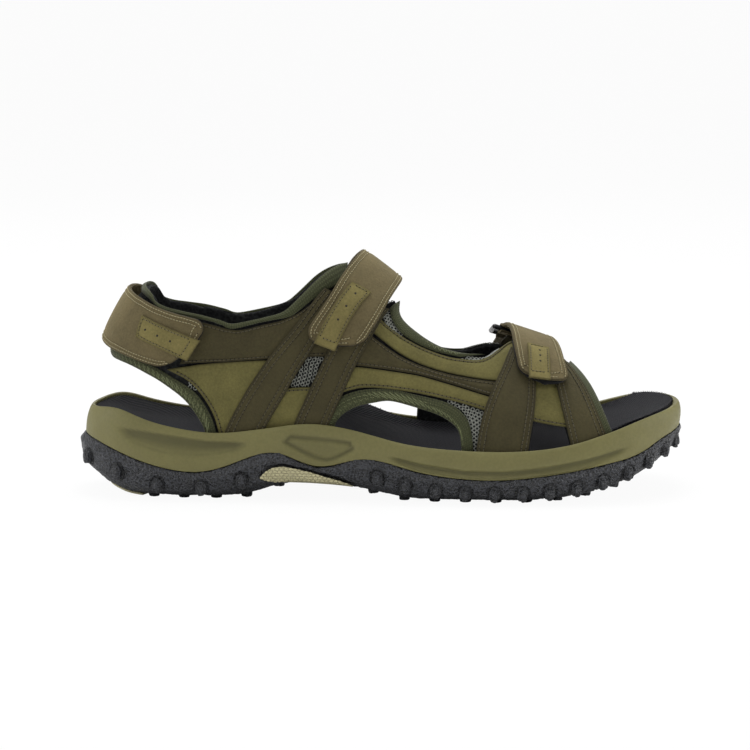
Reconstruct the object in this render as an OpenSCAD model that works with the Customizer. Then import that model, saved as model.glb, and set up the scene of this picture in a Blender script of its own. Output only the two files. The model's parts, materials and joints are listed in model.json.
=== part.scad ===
// Strappy sport sandal, right foot. Millimetres.
// X runs from heel to toe, Z is up and the outer (lateral) side of the foot is -Y.
// The origin is on the ground under the middle of the heel.

/* [Sole] */
// Half the length of the foot outline at the feather edge
last_half = 140.5; // [139:0.5:142]
// Distance from the heel centre to the middle of the foot outline
last_mid = 115.5; // [114:0.5:117]
// Height of the ground studs
stud_h = 1.6; // [1.4:0.1:2]
// Radius of the ground studs
stud_r = 3.2; // [2.5:0.1:3.4]
// Thickness of the rubber at the bottom of the outsole
rubber_t = 3; // [2.5:0.1:3.2]
// Thickness of the insole board
board_t = 1.8; // [1.4:0.1:2]
// Thickness of the footbed's cover
cover_t = 1.2; // [1:0.1:1.4]

/* [Upper] */
// Thickness of the padded lining
lining_t = 2; // [1.6:0.1:2]
// Thickness of the leather panels
leather_t = 1.2; // [1:0.1:1.2]
// Air gap between neighbouring layers
gap = 0.4; // [0.3:0.05:0.4]

/* [Straps] */
// Thickness of a strap
strap_t = 1.8; // [1.6:0.1:2]
// Thickness of the hook and loop patches
patch_t = 0.7; // [0.6:0.1:0.8]
// Radius of the bars of the strap rings
bar_r = 1.3; // [1.2:0.1:1.4]
// Distance between the two bars of a ring
ring_span = 9; // [8:0.5:10]
// Width of the gap between a strap and the sides of its ring
ring_play = 1; // [0.6:0.1:1.5]

/* [Hidden] */

$fn = 32;
rubber = "#29292b";
eva = "#7b764f";
tan_plate = "#a39a68";
black_cloth = "#17181c";
mesh_cloth = "#8b8d8c";
binding_green = "#4a4f38";
dark_leather = "#55492f";
light_leather = "#77683a";
tab_leather = "#86794c";

// ---- curves ----
// A table is a list of [position, value] pairs, joined by a smooth cubic curve.
function knot(t, x) = max([for (i = [0:len(t) - 2]) if (i == 0 || x >= t[i][0]) i]);
function slope(t, i) =
    let (a = max(i - 1, 0), b = min(i + 1, len(t) - 1))
    (t[b][1] - t[a][1]) / (t[b][0] - t[a][0]);
function curve(t, x) =
    let (
        i = knot(t, x),
        h = t[i + 1][0] - t[i][0],
        u = min(max((x - t[i][0]) / h, 0), 1)
    )
    t[i][1] * (2 * u * u * u - 3 * u * u + 1) + slope(t, i) * h * (u * u * u - 2 * u * u + u)
    + t[i + 1][1] * (3 * u * u - 2 * u * u * u) + slope(t, i + 1) * h * (u * u * u - u * u);
// One coordinate of a list of points, as a table.
function column(p, k) = [for (i = [0:len(p) - 1]) [i, p[i][k]]];
// The point at share t of the way along a smooth path through a list of points.
function along(p, t) = [for (k = [0, 1]) curve(column(p, k), t * (len(p) - 1))];
function unit(v) = v / norm(v);
function clamp(v) = min(max(v, 0), 1);

// ---- foot outline ----
// Half widths against the outline angle: 0 is the back of the heel and 180 the toe tip.
lateral_half = [[0, 0], [20, 18], [40, 28.5], [60, 31], [80, 34], [100, 41], [115, 44.5], [130, 43],
    [145, 36], [160, 23.5], [180, 0]];
medial_half = [[0, 0], [20, 18], [40, 28], [60, 28.5], [80, 29], [100, 38], [115, 45], [130, 46.5],
    [145, 40], [160, 27], [180, 0]];
centre_y = [[0, 0], [100, 0], [180, 5]];
function station(x) = acos(min(max((last_mid - x) / last_half, -1), 1));
function last_x(s) = last_mid - last_half * cos(s);
function half_w(s) = curve(s >= 0 ? lateral_half : medial_half, abs(s));
function side(s) = s >= 0 ? -1 : 1;
// The outline at the feather edge. Positive angles are on the lateral side.
function feather(s) = [last_x(s), curve(centre_y, abs(s)) + side(s) * half_w(s)];
// The outline moved outwards by d.
function edge(s, d) =
    let (t = unit(feather(s + 1) - feather(s - 1)))
    feather(s) + d * [t[1], -t[0]];

// ---- levels of the sole ----
ground_table = [[-38, 14], [-35, 10.5], [-28, 6.6], [-18, 3.6], [-12, 2.2], [-2, 1.6], [38, 1.6], [44, 1.9],
    [51, 3.4], [59, 6.8], [69, 8.5], [84, 8.2], [100, 6.6], [106, 5.4], [117, 3.4], [127, 1.6], [180, 1.6],
    [197, 2.4], [212, 4.2], [224, 6.8], [235, 10.2], [245, 14.6], [253, 18.3], [263, 24]];
rubber_table = [[-38, 30], [-28, 27.5], [-17.5, 23.6], [-7, 19.8], [3, 17.1], [13, 15.2], [22, 14.7],
    [30.5, 16], [39, 18.8], [47, 22.3], [54, 24.7], [60, 25.4], [65, 24.5], [71, 21], [78, 18.1], [84, 17.4],
    [90, 18.8], [97, 21.5], [103, 22.6], [110, 22], [122, 18.6], [132, 15.9], [143, 14.2], [153, 13.3],
    [167, 12.8], [183, 13.8], [199, 15.8], [212, 17.8], [224, 20.1], [234, 21.9], [243, 25.2], [250, 29.3],
    [263, 33]];
rim_table = [[-38, 42], [-30, 43.5], [-18, 45], [-3, 40], [12, 36.6], [32, 34.3], [57, 37], [77, 39.6],
    [97, 37], [125, 30], [152, 27.6], [180, 27.4], [204, 30], [224, 35.4], [244, 41.5], [263, 44.5]];
// The floor of the midsole, which the insole board rests on.
floor_table = [[-38, 27], [-30, 27], [0, 24], [60, 23], [120, 16], [170, 13.5], [205, 17],
    [235, 25.5], [263, 32]];
// The middle of the footbed's top.
bed_table = [[-38, 41], [-30, 41], [-18, 40.2], [0, 35], [12, 32.5], [32, 31], [57, 32.6], [77, 34.8],
    [97, 32.6], [120, 26.6], [152, 23.2], [180, 23], [204, 25.8], [224, 32.3], [244, 39.6], [263, 43.6]];
function ground_z(x) = max(stud_h, curve(ground_table, x));
function rubber_z(x) = curve(rubber_table, x);
function rim_z(x) = curve(rim_table, x);
function floor_z(x) = curve(floor_table, x);
function bed_z(x) = curve(bed_table, x);

// The footbed is raised under the inner arch.
arch_rise = 6;
function arch(p) = arch_rise * exp(-pow((p[0] - 75) / 42, 2)) * max(0, p[1]) / 35;
// How far a sole ring belongs to the heel end or to the toe end, from 0 to 1.
function heel_share(s) = pow((1 + cos(s)) / 2, 6);
function toe_share(s) = pow((1 - cos(s)) / 2, 20);
// How deep the sole wall stands outside the feather edge at a share of the rubber's height.
wall_table = [[0, -1], [0.08, 2], [0.3, 6.5], [0.7, 8.6], [1, 8]];
wall_heel_table = [[0, 0], [0.1, 2.5], [0.35, 5.6], [0.6, 5.4], [1, 2.5]];
function wall_d(share, s) = curve(wall_table, share) + curve(wall_heel_table, share) * heel_share(s)
    - 1.5 * toe_share(s);
// The parts of the outline where the upper goes down into the sole, from and to these angles.
lateral_slots = [[48, 80], [104, 148]];
medial_slots = [[48, 80], [92, 148]];
slot_fade = 4;
function slotted(s) = max([for (w = s >= 0 ? lateral_slots : medial_slots)
    min(clamp((abs(s) - w[0]) / slot_fade + 1), clamp((w[1] - abs(s)) / slot_fade + 1))]);

ring_n = 90;
ring_angles = [for (i = [0:ring_n - 1]) let (s = 360 * i / ring_n) s <= 180 ? s : s - 360];
well_d = 5.5;
well_depth = 7.3;
upper_depth = 7;
function well_wall(s) = well_d - 2.5 * toe_share(s);
function bed_wall(s) = mix(-0.9, well_wall(s) - gap, slot_free(s));
function slot_free(s) = 1 - slotted(s);
// A solid through closed rings of ring_n points, closed at both ends by rungs across the foot.
// The walls numbered in turned are cut into triangles along the other diagonal, so that two parts
// that face each other keep an even gap.
module loft(rings, turned = []) {
    n = ring_n;
    end = (len(rings) - 1) * n;
    walls = [for (k = [0:len(rings) - 2], i = [0:n - 1])
        let (a = k * n + i, b = k * n + (i + 1) % n, c = b + n, d = a + n)
        each len(search(k, turned)) > 0 ? [[a, d, c], [a, c, b]] : [[a, d, b], [b, d, c]]];
    rungs = [for (i = [0:n / 2 - 1])
        let (a = i, b = i + 1, c = n - 1 - i, d = (n - i) % n)
        each (i == 0 ? [[a, b, c]] : i == n / 2 - 1 ? [[d, a, b]] : [[a, b, c], [a, c, d]])];
    far_rungs = [for (f = rungs) [f[2] + end, f[1] + end, f[0] + end]];
    polyhedron(points = [for (r = rings) each r], faces = concat(walls, rungs, far_rungs));
}
function mix(a, b, share) = a + (b - a) * share;
// Rings of the sole's parts.
function wall_ring(share) = [for (s = ring_angles)
    let (p = edge(s, wall_d(share, s)))
    [p[0], p[1], mix(ground_z(p[0]), rubber_z(p[0]), share)]];
function ground_ring(d, lift) = [for (s = ring_angles)
    let (p = edge(s, d))
    [p[0], p[1], ground_z(p[0]) + lift]];
function rubber_ring(d, lift, heel_d = 0, toe_d = 0) = [for (s = ring_angles)
    let (p = edge(s, d + heel_d * heel_share(s) + toe_d * toe_share(s)))
    [p[0], p[1], rubber_z(p[0]) + lift]];
function eva_ring(share, d) = [for (s = ring_angles)
    let (p = edge(s, d + 2.5 * (1 - share) * heel_share(s) - 1.5 * toe_share(s)))
    [p[0], p[1], mix(rubber_z(p[0]) + 0.2, rim_z(p[0]), share)]];
function well_ring(d, depth) = [for (s = ring_angles)
    let (p = edge(s, well_wall(s) + d))
    [p[0], p[1], rim_z(p[0]) - depth]];
function floor_ring(d, lift) = [for (s = ring_angles)
    let (p = edge(s, d))
    [p[0], p[1], floor_z(p[0]) + lift]];
function shoulder_ring(d, depth) = [for (s = ring_angles)
    let (p = edge(s, min(d, bed_wall(s))))
    [p[0], p[1], rim_z(p[0]) - depth]];
// The footbed's top: row 0 is near its middle line, 1 halfway and 2 the edge.
bed_d = [-13, -7, 99];
bed_share = [0, 0.3, 1];
function bed_ring(row, lift) = [for (s = ring_angles)
    let (p = edge(s, min(bed_d[row], bed_wall(s))))
    [p[0], p[1], mix(bed_z(p[0]), bed_edge_z(p[0]), bed_share[row]) + arch(p) + lift]];
// The edge of the footbed lies just under the midsole's rim, and just over it at the toe.
function bed_edge_z(x) = rim_z(x) - 1.6 + 2.4 * clamp((x - 215) / 30);

glue_gap = 0.2;

// ---- sole ----
module pill(width, height, depth) {
    linear_extrude(depth) union() {
        square([width, height - width], center = true);
        for (y = [-1, 1]) translate([0, y * (height - width) / 2]) circle(d = width);
    }
}
// A stepped lug on the rubber wall.
module lug(s, share) {
    p = edge(s, wall_d(share, s));
    t = unit(feather(s + 1) - feather(s - 1));
    z = mix(ground_z(p[0]), rubber_z(p[0]), share);
    translate([p[0], p[1], z])
        rotate([0, 0, atan2(t[1], t[0])])
            rotate([90, 0, 0]) {
                translate([0, 0, -1.2]) pill(5.4, 7.4, 2.3);
                pill(2.6, 3.8, 1.9);
            }
}
module stud(x, y, lift = 0) {
    translate([x, y, ground_z(x) - stud_h + lift])
        cylinder(h = stud_h + 1.6, r1 = stud_r - 0.5, r2 = stud_r);
}
// Lugs as [outline angle, share of the wall's height].
lugs = [[12, 0.5], [25, 0.5], [38, 0.42], [49.5, 0.4], [59.5, 0.46], [88.5, 0.48], [94, 0.46], [100, 0.4],
    [106, 0.36], [112, 0.36], [118, 0.34], [124, 0.32], [130.5, 0.32], [137.5, 0.34], [145, 0.38],
    [152.5, 0.42], [160.5, 0.42], [169, 0.42]];
// Rows of ground studs: the distance along the foot and how many stand on each side of the middle.
stud_rows = [[0, 2], [15, 2], [31, 2], [46, 2], [62, 2], [109, 3], [124, 3], [139, 3], [154, 3], [169, 3],
    [184, 3], [199, 3], [213, 2], [227, 2]];
module outsole() {
    color(rubber) union() {
        loft([ground_ring(-7, 0), wall_ring(0.04), wall_ring(0.3), wall_ring(0.75), wall_ring(1),
            rubber_ring(5.9, 0, 2.5, -1.5), ground_ring(1.5, rubber_t)], [5]);
        for (l = lugs, k = [1, -1]) lug(k * l[0], l[1]);
        for (r = stud_rows, j = [-r[1]:r[1]]) {
            k = j < 0 ? 1 : -1;
            y = feather(k * station(r[0]))[1] + 5.5 * k;
            stud(r[0], abs(j) / r[1] * y);
        }
    }
}
// A curved plate between two grids of points with nt by ns cells.
module skin(inner_grid, outer_grid, nt, ns) {
    row = ns + 1;
    layer = row * (nt + 1);
    m = floor(nt / 2) * row + floor(ns / 2);
    g = inner_grid;
    turned = cross(g[m + row] - g[m], g[m + 1] - g[m]) * (outer_grid[m] - g[m]) > 0;
    inner = [for (i = [0:nt - 1], j = [0:ns - 1])
        let (a = i * row + j, b = a + 1, c = a + row)
        each [[a, b, c], [b, c + 1, c]]];
    outer = [for (f = inner) [f[2] + layer, f[1] + layer, f[0] + layer]];
    rim = concat(
        [for (i = [0:nt]) i * row],
        [for (j = [1:ns]) nt * row + j],
        [for (i = [nt - 1:-1:0]) i * row + ns],
        [for (j = [ns - 1:-1:1]) j]);
    walls = [for (i = [0:len(rim) - 1])
        let (a = rim[i], b = rim[(i + 1) % len(rim)])
        each [[a, b, a + layer], [b, b + layer, a + layer]]];
    faces = concat(inner, outer, walls);
    polyhedron(points = concat(inner_grid, outer_grid),
        faces = turned ? [for (f = faces) [f[2], f[1], f[0]]] : faces);
}
// The arch plate lies on the rubber wall between these shares of its height.
arch_top = [[64, 0.44], [66.3, 0.58], [70.7, 0.66], [75.1, 0.74], [79.4, 0.42], [83.2, 0.1]];
arch_bottom = [[64, 0.4], [66.3, 0.19], [70.7, 0.05], [75.1, 0.04], [79.4, 0.04], [83.2, 0.04]];
function arch_grid(d, nt, ns) = [for (i = [0:nt], j = [0:ns])
    let (
        a = along(arch_bottom, i / nt),
        b = along(arch_top, i / nt),
        c = mix(a, b, j / ns),
        p = edge(c[0], wall_d(c[1], c[0]) + d)
    )
    [p[0], p[1], mix(ground_z(p[0]), rubber_z(p[0]), c[1])]];
module arch_plate() {
    color(tan_plate) skin(arch_grid(0.65, 12, 4), arch_grid(1.65, 12, 4), 12, 4);
}
function heel_insert_grid(drop, nt, ns) = [for (i = [0:nt], j = [0:ns])
    let (s = mix(30, -30, i / nt), p = edge(s, mix(-8, -1.5, j / ns)))
    [p[0], p[1], ground_z(p[0]) - drop]];
module heel_insert() {
    color(tan_plate) skin(heel_insert_grid(0.25, 16, 2), heel_insert_grid(1.25, 16, 2), 16, 2);
}
rim_gap = 0.6;
module midsole() {
    color(eva) loft([ground_ring(1.2, rubber_t + 0.15), rubber_ring(5.6, 0.2, 2.3, -1.5),
        eva_ring(0, 7.9), eva_ring(0.5, 8.7), eva_ring(0.88, 8), eva_ring(1, 6.9),
        well_ring(0, 0.4), well_ring(-0.05, well_depth), floor_ring(0, rim_gap), floor_ring(-0.1, 0)]);
}
module insole_board() {
    color("#b9a27a") loft([floor_ring(-0.9, 0.15), floor_ring(-0.8, 0.15 + board_t)]);
}
module footbed() {
    color("#3a3a3e") loft([floor_ring(-1.2, board_t + 0.3), shoulder_ring(-0.8, well_depth - 0.25),
        shoulder_ring(99, well_depth - 0.3), bed_ring(2, -cover_t - glue_gap), bed_ring(1, -cover_t - glue_gap),
        bed_ring(0, -cover_t - glue_gap)], [3, 4]);
}
module footbed_cover() {
    color(black_cloth) loft([bed_ring(0, -cover_t), bed_ring(1, -cover_t), bed_ring(2, -cover_t),
        bed_ring(2, 0), bed_ring(1, 0), bed_ring(0, 0)]);
}

// ---- foot surface ----
// The surface that the upper wraps: s is the outline angle, and a runs from 0 at the feather edge on
// the side of s, over the crest at 90, to 180 on the other side.
crest_table = [[-30, 190], [20, 175], [50, 150], [76, 125.5], [101, 109.5], [122, 95], [150, 82.5],
    [176, 72.8], [200, 64.7], [225, 57], [256, 50]];
fullness = 2.3;
function crest_z(x) = curve(crest_table, x);
function base_z(x) = rim_z(x) - upper_depth;
function heel_lean(s, rise) = 0.0056 * rise * rise * pow((1 + cos(s)) / 2, 5);
function last(s, a) =
    let (
        x = last_x(s),
        z0 = base_z(x),
        rise = (crest_z(x) - z0) * pow(abs(sin(a)), 2 / fullness),
        across = side(s) * sign(cos(a)) * pow(abs(cos(a)), 2 / fullness)
    )
    [x + heel_lean(s, rise), curve(centre_y, abs(s)) + across * half_w(cos(a) >= 0 ? s : -s), z0 + rise];
function last_normal(s, a) =
    let (step = 0.6, b = min(max(a, step), 180 - step))
    unit(cross(last(s + step, b) - last(s - step, b), last(s, b + step) - last(s, b - step)));
// A chart point [s, a] at offset d from the foot surface.
function on_last(c, d) = last(c[0], c[1]) + d * last_normal(c[0], c[1]);
// The chart point at outline angle s and height z.
function at_height(s, z) =
    let (x = last_x(s), share = clamp((z - base_z(x)) / (crest_z(x) - base_z(x))))
    [s, asin(pow(share, fullness / 2))];
// The outline angle of the surface point at x and z, found in n steps.
function seat(x, z, n = 6) = n == 0 ? station(x)
    : let (s = seat(x, z, n - 1)) station(x - heel_lean(s, max(0, z - base_z(last_x(s)))));
// A side-view point as a chart point: k is 1 on the lateral side, -1 on the medial side.
function at(x, z, k = 1) = at_height(k * seat(x, z), z);
// The same, but counted from the lateral side even when the point is on the medial side.
function over(x, z, k) =
    let (c = at_height(seat(x, z), z))
    k > 0 ? c : k == 0 ? [c[0], 90] : [c[0], 180 - c[1]];
function chart(points, k = 1) = [for (p = points) at(p[0], p[1], k)];

// ---- curved sheets ----
function sheet_grid(a, b, d, nt, ns, bow) = [for (i = [0:nt], j = [0:ns])
    let (
        t = i / nt,
        v = j / ns,
        p = mix(along(a, t), along(b, t), v),
        dent = bow * (1 - t) * (1 - t) * 4 * v * (1 - v)
    )
    on_last(p + dent * unit(a[0] - a[1]), d)];
// A sheet between two edges on the foot surface, from offset d0 to d1. bow rounds its first end.
module sheet(a, b, d0, d1, nt = 10, ns = 4, bow = 0) {
    skin(sheet_grid(a, b, d0, nt, ns, bow), sheet_grid(a, b, d1, nt, ns, bow), nt, ns);
}
// A sheet between two side-view edges, drawn from the sole upwards, rear edge first.
module panel(k, rear, front, d0, d1, nt = 10, ns = 4) {
    if (k > 0) sheet(chart(rear), chart(front), d0, d1, nt, ns);
    else sheet(chart(front, -1), chart(rear, -1), d0, d1, nt, ns);
}
base_d = lining_t + gap;
overlay_d = base_d + leather_t + gap;
loop_d = overlay_d + leather_t + gap;
hook_d = loop_d + patch_t + gap;
strap_d = hook_d + patch_t + gap;
tab_d = strap_d + strap_t + gap;
module lining(k, rear, front, nt = 12, ns = 6) {
    color(mesh_cloth) panel(k, rear, front, 0, lining_t, nt, ns);
}
module base_panel(k, tint, rear, front, nt = 10, ns = 4) {
    color(tint) panel(k, rear, front, base_d, base_d + leather_t, nt, ns);
}
module overlay(k, rear, front, nt = 12, ns = 3) {
    color(dark_leather) panel(k, rear, front, overlay_d, overlay_d + leather_t, nt, ns);
}

// ---- upper, one side: side-view edges as [x, z], from the sole upwards ----
// The top edge of the medial side is lower.
medial_drop = 3;
function topline(k, points) = [for (p = points) [p[0], p[1] - (k < 0 ? medial_drop : 0)]];
module quarter_lining(k) {
    lining(k, concat([[27, 30], [23.3, 42], [18.6, 53], [21.05, 66], [23.25, 78]],
        topline(k, [[25.2, 90], [42, 86.8], [60, 90.4], [72, 98.3], [84, 109], [94, 112.5]])),
        [[86, 33], [88, 38], [89.5, 43], [91.8, 50], [94.8, 57], [97.2, 63], [100.2, 70], [103.2, 77],
        [106.3, 84], [109, 91], [110.7, 96]], 24, 12);
}
module heel_panel(k) {
    base_panel(k, light_leather, [[33.5, 31], [30, 43], [24, 53], [17, 60], [8, 64.6]],
        [[46, 32], [51, 44], [56, 54], [60, 62], [64, 69.2]], 10, 6);
}
module collar_band(k) {
    base_panel(k, dark_leather, [[14, 67.3], [35, 68.7], [56, 70.1], [65, 70.9]],
        topline(k, [[25, 88], [41, 84.4], [54, 86.7], [64, 89], [73, 93], [83, 99.5]]), 14, 4);
}
module lower_infill(k) {
    base_panel(k, light_leather, [[48, 32.5], [53, 41], [62.5, 55.5]], [[72, 33.5], [76, 43], [81.5, 56.5]], 6, 4);
}
module upper_infill(k) {
    base_panel(k, dark_leather, [[73, 70.8], [80, 85], [88, 100]], [[89, 71.2], [95, 84], [100, 96]], 6, 4);
}
module rear_overlay(k) {
    overlay(k, [[34.5, 31], [45, 52], [56.5, 69.5], [71, 87], [84, 103]],
        [[54, 32.5], [61, 45.5], [68, 57.5], [81, 78], [94, 98]], 18);
}
module front_overlay(k) {
    overlay(k, [[68.5, 34], [76, 52], [83, 67], [90.5, 82], [98, 96]],
        [[85.5, 33.5], [91, 47], [97, 60], [107, 79], [115, 91]], 16);
}
module bridge_top(k) {
    base_panel(k, light_leather, [[104, 85], [110, 80.5], [127, 69], [146, 62.5], [168, 58.5], [178, 57.5]],
        [[110, 89], [119, 81.5], [135, 73], [150, 68.5], [165, 68.5], [179, 72]], 16, 3);
}
module bridge_middle(k) {
    base_panel(k, dark_leather, [[95, 67], [104, 66.5], [127, 63], [146, 58], [166, 52], [174, 50]],
        [[103, 84], [109, 79.5], [126.5, 68.4], [146, 62], [168, 58], [178, 57]], 14, 2);
}
module bridge_bottom(k) {
    base_panel(k, light_leather, [[91, 53], [107, 56.5], [126, 54.5], [146, 50.5], [162, 46], [172, 42]],
        [[95, 66.3], [104, 66], [127, 62.5], [146, 57.5], [166, 51.5], [174, 49.5]], 14, 2);
}
module arch_binding(k, opening, back) {
    base_panel(k, binding_green, opening, back, 28, 1);
}
module throat_binding(k, inner, outer) {
    base_panel(k, binding_green, inner, outer, 20, 2);
}
// The edge of the opening over the arch.
lateral_opening = [[90, 34], [91, 40], [98, 46], [108, 49], [118, 50], [130, 47], [142, 43], [150, 37],
    [152, 28], [152, 21]];
medial_opening = [[90, 34], [91, 40], [98, 46], [107, 49], [115, 49.5], [123, 47.5], [129, 42.5],
    [131.5, 36], [131.5, 30], [131, 23]];
// The same edge set back by the width of its binding.
lateral_opening_back = [[83, 35], [86, 45], [93, 52], [107, 55.8], [118, 55.5], [127, 53.7], [145, 49.3],
    [154.5, 42], [157.5, 31], [157.5, 22]];
medial_opening_back = [[83, 35], [86, 45], [93, 52], [106, 55.8], [117, 55.5], [128, 52.5], [135, 45],
    [137.5, 37], [137.5, 30], [137, 22]];
lateral_throat = [[113, 89], [120.5, 93.6], [121.3, 87.8], [131, 79.9], [142, 73.7], [154, 70.2], [165, 69], [177, 71.3],
    [190, 60], [187, 40], [184, 21]];
medial_throat = [[112.5, 87], [119, 91], [120.5, 83], [128, 73], [141, 66], [154, 64.3], [173, 67.5],
    [189, 58], [187, 40], [184, 21]];
module vamp_lining(k, opening, throat) {
    lining(k, [for (i = [1:len(opening) - 1]) opening[i]], throat, 30, 7);
}
// The medial side of the toe opening lies further back.
module toe_lining(k) {
    lining(k, k > 0 ? [[206, 23.5], [200, 44], [195, 56], [191.5, 67]]
                    : [[200.5, 23.5], [196, 42], [192.5, 54], [188.5, 64]],
        k > 0 ? [[227, 29], [216, 53], [206, 62.5], [200, 64]] : [[219.5, 29], [209, 50], [201, 59], [196, 61]],
        14, 5);
}
module toe_infill(k, low = 42) {
    base_panel(k, light_leather, [[180, low], [182, 53], [184, 63]],
        k > 0 ? [[205, low - 5], [200.5, 50], [196.5, 60]] : [[199, low - 5], [195.5, 49], [192, 58]], 6, 4);
}
module toe_rear_overlay(k) {
    overlay(k, [[158.5, 21], [162.5, 44], [171, 63], [175, 70]], [[183.5, 21], [187, 45], [187.5, 57], [187, 67]]);
}
module toe_front_overlay(k) {
    overlay(k, k > 0 ? [[205.5, 24], [200.5, 44], [197, 56], [192, 66]] : [[199, 24], [195, 42], [192.5, 54], [189.5, 63]],
        k > 0 ? [[221.5, 28], [213, 48], [205.5, 58.5], [199, 64]] : [[214, 28], [206, 45], [200, 55], [195.5, 60.5]]);
}
module toe_binding(k) {
    base_panel(k, binding_green,
        k > 0 ? [[219, 27], [209.5, 49], [202, 60]] : [[211.5, 27], [202.5, 46], [196.5, 56]],
        k > 0 ? [[226.5, 29.5], [215.7, 53], [205.7, 62.5]] : [[219, 29.5], [208.7, 50], [200.7, 58.7]], 12, 2);
}

module lateral_quarter_lining() { quarter_lining(1); }
module lateral_vamp_lining() { vamp_lining(1, lateral_opening, lateral_throat); }
module lateral_toe_lining() { toe_lining(1); }
module lateral_heel_panel() { heel_panel(1); }
module lateral_collar_band() { collar_band(1); }
module lateral_lower_infill() { lower_infill(1); }
module lateral_upper_infill() { upper_infill(1); }
module lateral_rear_overlay() { rear_overlay(1); }
module lateral_front_overlay() { front_overlay(1); }
module lateral_bridge_top() { bridge_top(1); }
module lateral_bridge_middle() { bridge_middle(1); }
module lateral_bridge_bottom() { bridge_bottom(1); }
module lateral_arch_binding() { arch_binding(1, lateral_opening, lateral_opening_back); }
module lateral_throat_binding() {
    throat_binding(1, [[115.5, 92], [117.3, 86.5], [123, 80], [135, 73.6], [143, 71], [151, 69.2]],
        [[120.4, 94.2], [121.3, 88], [131, 79.7], [142, 73.7], [152, 70.8], [163, 69.5]]);
}
module lateral_toe_infill() { toe_infill(1); }
module lateral_toe_rear_overlay() { toe_rear_overlay(1); }
module lateral_toe_front_overlay() { toe_front_overlay(1); }
module lateral_toe_binding() { toe_binding(1); }
module medial_quarter_lining() { quarter_lining(-1); }
module medial_vamp_lining() { vamp_lining(-1, medial_opening, medial_throat); }
module medial_toe_lining() { toe_lining(-1); }
module medial_heel_panel() { heel_panel(-1); }
module medial_collar_band() { collar_band(-1); }
module medial_rear_overlay() { rear_overlay(-1); }
module medial_front_overlay() { front_overlay(-1); }
module medial_bridge() {
    base_panel(-1, light_leather, [[95, 57], [107, 58], [126, 56.5], [142, 52], [155, 47], [168, 42]],
        [[107, 83], [113.5, 78], [122, 70], [136, 63], [152, 60.5], [168, 61]], 16, 5);
}
module medial_arch_binding() { arch_binding(-1, medial_opening, medial_opening_back); }
module medial_throat_binding() {
    throat_binding(-1, [[115.5, 87], [117, 80], [124, 71], [138, 63.8], [152, 61.2], [166, 63]],
        [[118.7, 88.5], [120.3, 82.7], [128, 72.7], [141, 65.7], [154, 64], [168, 66]]);
}
module medial_toe_infill() { toe_infill(-1); }
module medial_toe_rear_overlay() { toe_rear_overlay(-1); }
module medial_toe_front_overlay() { toe_front_overlay(-1); }
module medial_toe_binding() { toe_binding(-1); }

// ---- heel collar, from the lateral side round the back to the medial side ----
function both_sides(points, back_z, drop = 0) = concat(
    [for (p = points) at(p[0], p[1])],
    [for (b = back_z) at_height(b[0], b[1])],
    [for (i = [len(points) - 1:-1:0]) at(points[i][0], points[i][1] - drop, -1)]);
module heel_collar() {
    color(black_cloth) sheet(
        both_sides([[17.5, 53], [8, 58], [-3, 63.5]], [[14, 68], [0, 70], [-14, 68]]),
        both_sides([[24, 89], [14, 92], [5, 94.5]], [[18, 99.5], [0, 101], [-18, 99.5]], 2),
        0, lining_t, 26, 6);
}
module collar_lower_binding() {
    color(binding_green) sheet(
        both_sides([[26, 29], [25, 37], [17, 49], [7, 57], [-3, 62.5]], [[14, 67], [0, 69], [-14, 67]]),
        both_sides([[32.5, 30], [29, 42], [22, 53], [12, 60], [0, 66.5]], [[16, 71.5], [0, 73.5], [-16, 71.5]]),
        base_d, base_d + leather_t, 40, 1);
}
module collar_upper_binding() {
    color(binding_green) sheet(
        both_sides([[95, 105], [86, 102.5], [73, 94], [64, 89.7], [42, 85.2], [34, 87], [27, 89], [6, 92]],
            [[20, 97], [0, 98.5], [-20, 97]], medial_drop),
        both_sides([[94.5, 113], [82, 108.7], [71, 98.7], [61, 91.8], [42, 87.7], [33, 89.5], [25, 91.5], [5, 95.5]],
            [[18, 100.2], [0, 101.7], [-18, 100.2]], medial_drop),
        base_d + 0.15, base_d + 0.15 + leather_t, 56, 3);
}

// ---- straps: edges from the free end over the foot to the ring ----
heel_low = [at(8.5, 65.5), at_height(20, 70.5), at_height(0, 73.2), at_height(-15, 72), at(2, 62.5, -1)];
heel_high = [at(28, 88.5), at_height(26, 94.5), at_height(0, 97.3), at_height(-22, 95), at(9, 85.5, -1)];
instep_rear = [over(74.5, 80.5, 1), over(87.5, 101, 1), over(96, 0, 0), over(92.5, 102, -1)];
instep_front = [over(103.5, 75.5, 1), over(111.5, 90, 1), over(117, 0, 0), over(112.5, 91, -1)];
forefoot_rear = [over(178.5, 59.5, 1), over(175.5, 69, 1), over(173.5, 0, 0), over(170.5, 70.5, -1)];
forefoot_front = [over(202.5, 54, 1), over(200, 61.5, 1), over(197.5, 0, 0), over(193.5, 63.2, -1)];
function part_of(a, from, to, n = 5) = [for (i = [0:n]) along(a, from + (to - from) * i / n)];
// A strip of a strap's path: from and to are shares of its length, low and high shares of its width.
module strip(a, b, from, to, low, high, d0, d1, nt, ns, bow = 0) {
    pa = part_of(a, from, to);
    pb = part_of(b, from, to);
    sheet([for (i = [0:5]) mix(pa[i], pb[i], low)], [for (i = [0:5]) mix(pa[i], pb[i], high)], d0, d1,
        nt, ns, bow);
}

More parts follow.
